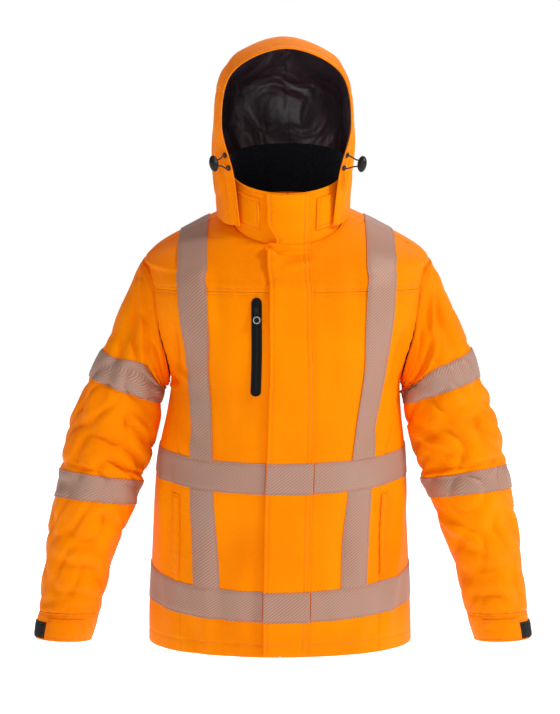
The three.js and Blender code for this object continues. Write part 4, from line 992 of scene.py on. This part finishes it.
def makeCollar():
    wall("collar_cloth", collar, (0.4, 359.6), (-0.07, 1), -2, 0, "shell", "collar",
         ("free", "free", "none", "free"), [("top", 6)], relief=tucked)
    wall("collarFleece", fleeceAt, (0.4, 359.6), (0.03, 0.99), -3.8, -2.6, "fleece", "collar_fleece",
         allFree)


def liningAt(across, back):
    # the hood with broad loose folds of its own and a raised seam over each of the crown's
    point = hoodDressed(across, back)
    across, back = np.broadcast_arrays(np.asarray(across, float), np.asarray(back, float))
    sink = 2 + 6.5 * np.abs(puff(across * 300 + back * 90, back * 200, 17, 2.2))
    sink += 1.2 * puff(across * 260, back * 300, 9, 4.0)
    for seam in (-hoodCut["crown"], 0.02, hoodCut["crown"]):
        sink += 1.3 * np.exp(-((across - seam) * 300 / 2.4) ** 2)
    sink *= smooth(back / 0.12) * smooth((1 - back) / 0.1) * smooth((1 - np.abs(across)) / 0.08)
    away = np.array([6.0, 0, 110]) - point
    return point + away / np.linalg.norm(away, axis=-1, keepdims=True) * sink[..., None]


def makeHood():
    crown = hoodCut["crown"]
    face = [("bottom", hoodCut["faceHem"]), ("bottom", 3)]
    wall("hood_right_cloth", hoodDressed, (-1, -crown), (0, 1), -2, 0, "shell", "hood_right",
         ("free", "sewn", "free", "sewn"), face)
    wall("hood_crown_cloth", hoodDressed, (-crown, crown), (0, 1), -2, 0, "shell", "hood_crown",
         ("sewn", "sewn", "free", "sewn"), [*face, ("left", 5), ("right", 5)])
    wall("hood_left_cloth", hoodDressed, (crown, 1), (0, 1), -2, 0, "shell", "hood_left",
         ("sewn", "free", "free", "sewn"), face)
    wall("hoodLining", liningAt, (-0.97, 0.97), (0.045, 0.965), -3.6, -2.5, "lining", "hood_lining",
         allFree, step=3.2)
    for name, span in (("right", (-52, -27)), ("left", (29, 54))):
        wall(f"hoodTab_{name}", collar, span, (0.2, 0.82), 1.1, 3.1, "shell", f"hood_tab_{name}", allFree,
             [("left", 4), ("right", 4), ("bottom", 4), ("top", 4)], step=3)


makeCollar()
makeHood()
print("stage: collar and hood")

# The storm flap runs from the hem to the collar's top, with its free edge towards the wearer's right.
flap = {
    "free": [-27, -26, -25, -24, -25, -26, -26, -27, -27, -28, -30, -31, -30],
    "sewn": [45, 47, 49, 50, 48, 46, 44, 42, 41, 39, 38, 37, 36],
    "low": 1.1, "high": 3.5, "wave": 13, "gap": 1.5,
}
tapeFeet = {"waist": -440, "hem": -648}


def flapEdges(level):
    at = np.minimum(level, 12)
    return column(flap["free"], at), column(flap["sewn"], at)


def flapAt(x, level):
    # the front, with a wave in the free edge where the flap bends at the foot of the collar
    free, sewn = flapEdges(level)
    share = np.clip((sewn - x) / (sewn - free), 0, 1)
    return fore(x + share ** 3 * (flap["wave"] * bell(level, 12.06, 0.22) - 5 * bell(level, 11.5, 0.2)), level)


def flapRelief(u, level, far):
    # tucks across the flap at the neck: narrow creases with rolls between them, strongest at the free edge
    share = np.exp(-far["left"] / 60)
    raised = 5 * bell(level, 12.36, 0.17) + 4.2 * bell(level, 11.82, 0.14) + 3.8 * bell(level, 11.25, 0.2)
    raised += 2.6 * bell(level, 12.92, 0.1) + 1.8 * bell(level, 10.5, 0.22)
    sunk = 2.4 * (bell(level, 12.66, 0.09) + bell(level, 12.06, 0.08) + bell(level, 11.56, 0.09))
    slow = 0.8 * puff(level * 50, u, 16, 1.1) * smooth(far["left"] / 12)
    lift = bell(far["left"], 0, 15) * (2 + 3 * bell(level, 11.2, 0.7) + 0.8 * np.sin(level * 1.9))
    return share * (raised - sunk * 0.8) + slow + lift


def tapeLevels(name):
    return levelAt(tapeFeet[name]), levelAt(tapeFeet[name] + tape["width"])


def strip(name, at, us, vs, low, replaced, sewn, edges=allFree, **more):
    # a tape with its under side at the height low and a row of stitches along each sewn edge
    wall(name, at, us, vs, low, low + tape["thick"], "tape", replaced, edges,
         [(edge, tape["row"]) for edge in sewn], **more)


def makeFlap():
    wall("stormFlap", flapAt, flapEdges, (0.04, 12.97), flap["low"], flap["high"], "shell", "storm_flap", allFree,
         [("left", 6), ("right", 4), ("right", 11), ("bottom", hem["stitch"])], relief=flapRelief, step=3.6)
    inset = lambda level: (flapEdges(level)[0] + 0.5, flapEdges(level)[1] - 0.5)
    for name in tapeFeet:
        strip(f"tape_{name}_onFlap", flapAt, inset, tapeLevels(name), flap["high"] + 0.4, f"tape_{name}_flap",
              ("bottom", "top"), relief=flapRelief)


def aroundAt(u, level):
    # once round the body from the flap's sewn edge to its free edge: front, back, front
    u, level = np.broadcast_arrays(u, level)
    free, sewn = flapEdges(level)
    start = acrossAt("front", sewn + flap["gap"], level)
    end = acrossAt("front", free - flap["gap"], level)
    front = np.where(u < 1, mix(start, 1, u), mix(-1, end, u - 3))
    back = 2 - u
    return halves((u < 1) | (u >= 3), np.where((u < 1) | (u >= 3), front, back), level)


# The upright tapes' middle line and half width, at the body's rows.
brace = {
    "x": [113, 117, 122, 128, 131, 136, 141, 145, 149, 151, 150, 150, 150],
    "half": [21, 21, 20.5, 19, 17, 17, 18, 22, 23, 23, 24, 24, 24],
}


def braceAt(half, side, u, level):
    x = column(brace["x"], level) + side * u * column(brace["half"], level)
    return body(half, side * np.abs(acrossAt(half, x, level)), level)


def shoulderTable(side):
    # lines over the shoulder at even shares of their lengths, one for each of 41 places across the tape
    top = rowAt["shoulderPoint"]
    table = []
    for offset in np.linspace(-1, 1, 41):
        goal = brace["x"][top] + side * offset * brace["half"][top]
        low, high = float(top), 12.0
        for _ in range(40):
            middle = (low + high) / 2
            low, high = (middle, high) if column(rowEnds["x"], middle) > goal else (low, middle)
        levels = np.linspace(levelAt(tapeFeet["waist"] + 50), low, 90)
        legs = [braceAt(half, side, np.full_like(levels, offset), levels) for half in ("front", "back")]
        line = np.concatenate([legs[0], legs[1][::-1][1:]])
        length = np.concatenate([[0], np.cumsum(np.linalg.norm(np.diff(line, axis=0), axis=-1))])
        even = np.linspace(0, length[-1], 221)
        table.append(np.stack([np.interp(even, length, line[:, k]) for k in range(3)], -1))
    return np.stack(table)


def tableAt(table, u, share):
    # a point of the table between its four nearest ones
    u, share = np.broadcast_arrays((u + 1) * 20, share * 220)
    i = np.clip(np.floor(u).astype(int), 0, 39)
    j = np.clip(np.floor(share).astype(int), 0, 219)
    s, t = (u - i)[..., None], (share - j)[..., None]
    return mix(mix(table[i, j], table[i + 1, j], s), mix(table[i, j + 1], table[i + 1, j + 1], s), t)


def makeTapes():
    level, upright = ("bottom", "top"), ("left", "right")
    for name in tapeFeet:
        strip(f"tape_{name}_round", aroundAt, (0, 4), tapeLevels(name), tape["lift"], f"tape_{name}", level)
    for name, side in sides.items():
        for half, facing in (("front", 1), ("back", -1)):
            lowAt = lambda u, level, half=half, facing=facing: braceAt(half, side, facing * u, level)
            strip(f"tape_{half}_{name}_low", lowAt, (-1, 1), (tapeLevels("hem")[1], tapeLevels("waist")[0]),
                  tape["lift"], f"tape_{half}_{name}", upright)
        table = shoulderTable(side)
        strip(f"tape_over_shoulder_{name}", lambda u, share: tableAt(table, u, share), (-1, 1), (0, 1),
              tape["shoulderLift"], f"tape_shoulder_{name}", upright)
        for where, low in (("upper", sleeveCut["upperTape"]), ("lower", sleeveCut["lowerTape"])):
            def at(turn, place, side=side, where=where, low=low):
                # the upper tape widens towards the body, and the wearer's left one lies higher at the wrist
                turn = np.asarray(turn, float)
                rest = low + 1 - place
                if where == "upper":
                    raised = (0.6 if side > 0 else 1.2) * rest * bell(np.abs((turn + 540) % 360 - 180), 112, 40)
                else:
                    raised = 0.33 if side > 0 else 0.05
                return sleeve(side, side * turn, place - raised)
            strip(f"tape_{where}_arm_{name}", at, (0, 360), (low, low + 1), tape["armLift"],
                  f"tape_{where}_sleeve_{name}", level, ("none", "none", "free", "free"), closed=True)


makeFlap()
makeTapes()
print("stage: flap and tapes")

# The chest zip: a laminated tape with rounded ends and a covered coil down its middle.
chestZip = {"left": -55.5, "right": -39, "top": -128, "foot": -283, "low": 1.1, "high": 2.1, "endRadius": 8.25}
coil = {"pitch": 1.5, "long": 3.4, "radius": 0.62}
frontTeeth = {"pitch": 3.0, "long": 5.6, "radius": 1.0}
welt = {"top": -455, "foot": -590, "wide": 14}


def zipSpan(level):
    # narrows to a half circle at both ends
    low, high = levelAt(chestZip["foot"]), levelAt(chestZip["top"])
    length = chestZip["top"] - chestZip["foot"]
    share = (np.asarray(level, float) - low) / (high - low)
    near = np.minimum(share, 1 - share) * length
    r = chestZip["endRadius"]
    inset = r * (1 - np.sqrt(np.clip(1 - (1 - np.clip(near / r, 0, 1)) ** 2, 0.02, 1)))
    return chestZip["left"] + inset, chestZip["right"] - inset


def zipRelief(u, level, far):
    # a bead over the coil, and a shallow fall towards both welded edges
    middle = (chestZip["left"] + chestZip["right"]) / 2
    off = np.abs(u - middle)
    return 0.7 * bell(off, 0, 1.9) - 0.35 * bell(off, 3.6, 0.8)


def lineOn(at, us, vs, lift):
    # a path on a surface and its outward directions, with the path lifted off it
    us, vs = np.asarray(us, float), np.asarray(vs, float)
    out = outOf(at, us, vs, 1e-2, 1e-3)
    return at(us, vs) + out * lift, out


def makeZips():
    low, high = levelAt(chestZip["foot"]), levelAt(chestZip["top"])
    middle = (chestZip["left"] + chestZip["right"]) / 2
    wall("chestZipTape", fore, zipSpan, (low, high), chestZip["low"], chestZip["high"], "zipTape", "chest_zip",
         allFree, relief=zipRelief, step=1.6)
    levels = np.linspace(low + (high - low) * 0.05, high - (high - low) * 0.09, 200)
    ridge = lineOn(fore, np.full(200, middle), levels, chestZip["high"] + 0.55)
    spindles("chestZipCoil", [ridge], "trim", coil, True)
    zipEdge = lambda x: lambda level: acrossAt("front", x + 0 * level, level)
    wall("frontZipTape", frontAt, lambda level: (zipEdge(-12)(level), zipEdge(12)(level)),
         (0.05, 11.9), -4, -2.7, "zipTape", "front_zip", allFree, step=5)
    levels = np.linspace(0.1, 11.8, 400)
    spindles("frontZipTeeth", [lineOn(frontAt, np.zeros(400), levels, -2.4)], "trim", frontTeeth, True)


def makeWelts():
    for name, side in sides.items():
        def at(u, level, side=side):
            x = column(bodyCut["sideSeam"], level) + 1.5 + (u if side > 0 else 1 - u) * welt["wide"]
            return body("front", side * np.abs(acrossAt("front", x, level)), level)
        wall(f"pocketWelt_{name}", at, (0, 1), (levelAt(welt["foot"]), levelAt(welt["top"])), 0.7, 2.0, "shell",
             f"pocket_welt_{name}", allFree, [("left", 3), ("right", 3), ("bottom", 4), ("top", 4)], step=3)


makeZips()
makeWelts()
spindles("stitchesOrange", threadRuns["threadOrange"], "threadOrange")
spindles("stitchesBlack", threadRuns["threadBlack"], "threadBlack")
for cord in (madePieces["hoodCord_right"], madePieces["hoodCord_left"]):
    cord.data.materials.append(finishes["cord"])
for node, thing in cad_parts.items():
    if node.startswith(("toggle", "eyelet", "chest_zip_slider", "chest_zip_pull")):
        thing.data.materials.clear()
        thing.data.materials.append(finishes["ringed" if node == "chest_zip_pull" else "trim"])
print("stage: zips, welts and stitches")


# A pale floor well below the hem, a white world, a small lamp high on the wearer's left that gives the
# folds their shadows, and two large weak ones, in front and behind. The floor glows a little and the
# world looks brighter than it shines, so that the background is as white as in the photo.
studio = {"floor": -0.95, "world": 0.25, "floorGlow": 0.78, "lamps": [
    {"name": "key", "at": (2.4, -1.3, 2.2), "size": 0.6, "power": 84},
    {"name": "fill", "at": (-1.0, -3.0, 1.1), "size": 1.8, "power": 15},
    {"name": "back", "at": (0.3, 2.6, 1.8), "size": 2.0, "power": 24},
]}


def makeStudio():
    material, tree, shader = newMaterial("paperPale", {
        "Roughness": 0.9, "Base Color": linear("#F6F6F6"), "Emission Color": linear("#FFFFFF"),
        "Emission Strength": studio["floorGlow"]})
    place = addNode(tree, "ShaderNodeTexCoord").outputs
    bumped(tree, shader, [(noise(tree, place["Object"], 90.0), 0.0005, 0.2)])
    mesh = bpy.data.meshes.new("floor")
    far = 30
    corners = [(x * far, y * far, studio["floor"]) for x, y in ((-1, -1), (1, -1), (1, 1), (-1, 1))]
    mesh.from_pydata(corners, [], [(0, 1, 2, 3)])
    mesh.materials.append(material)
    floor = bpy.data.objects.new("floor", mesh)
    bpy.context.scene.collection.objects.link(floor)
    world = bpy.data.worlds.new("whiteRoom")
    world.use_nodes = True
    bpy.context.scene.world = world
    tree = world.node_tree
    light = tree.nodes["Background"]
    light.inputs["Color"].default_value = (1, 1, 1, 1)
    seen = addNode(tree, "ShaderNodeLightPath").outputs["Is Camera Ray"]
    strength = addNode(tree, "ShaderNodeMapRange", None, {"Value": seen, "To Min": studio["world"], "To Max": 1.0})
    tree.links.new(strength.outputs[0], light.inputs["Strength"])
    for lamp in studio["lamps"]:
        data = bpy.data.lights.new(lamp["name"], "AREA")
        data.size = lamp["size"]
        data.energy = lamp["power"]
        thing = bpy.data.objects.new(lamp["name"], data)
        thing.location = lamp["at"]
        thing.rotation_euler = (Vector((0, 0, -0.25)) - Vector(lamp["at"])).to_track_quat("-Z", "Y").to_euler()
        bpy.context.scene.collection.objects.link(thing)
    bpy.context.scene.view_settings.view_transform = "Standard"


makeStudio()
bpy.context.view_layer.update()
print("stage: done")
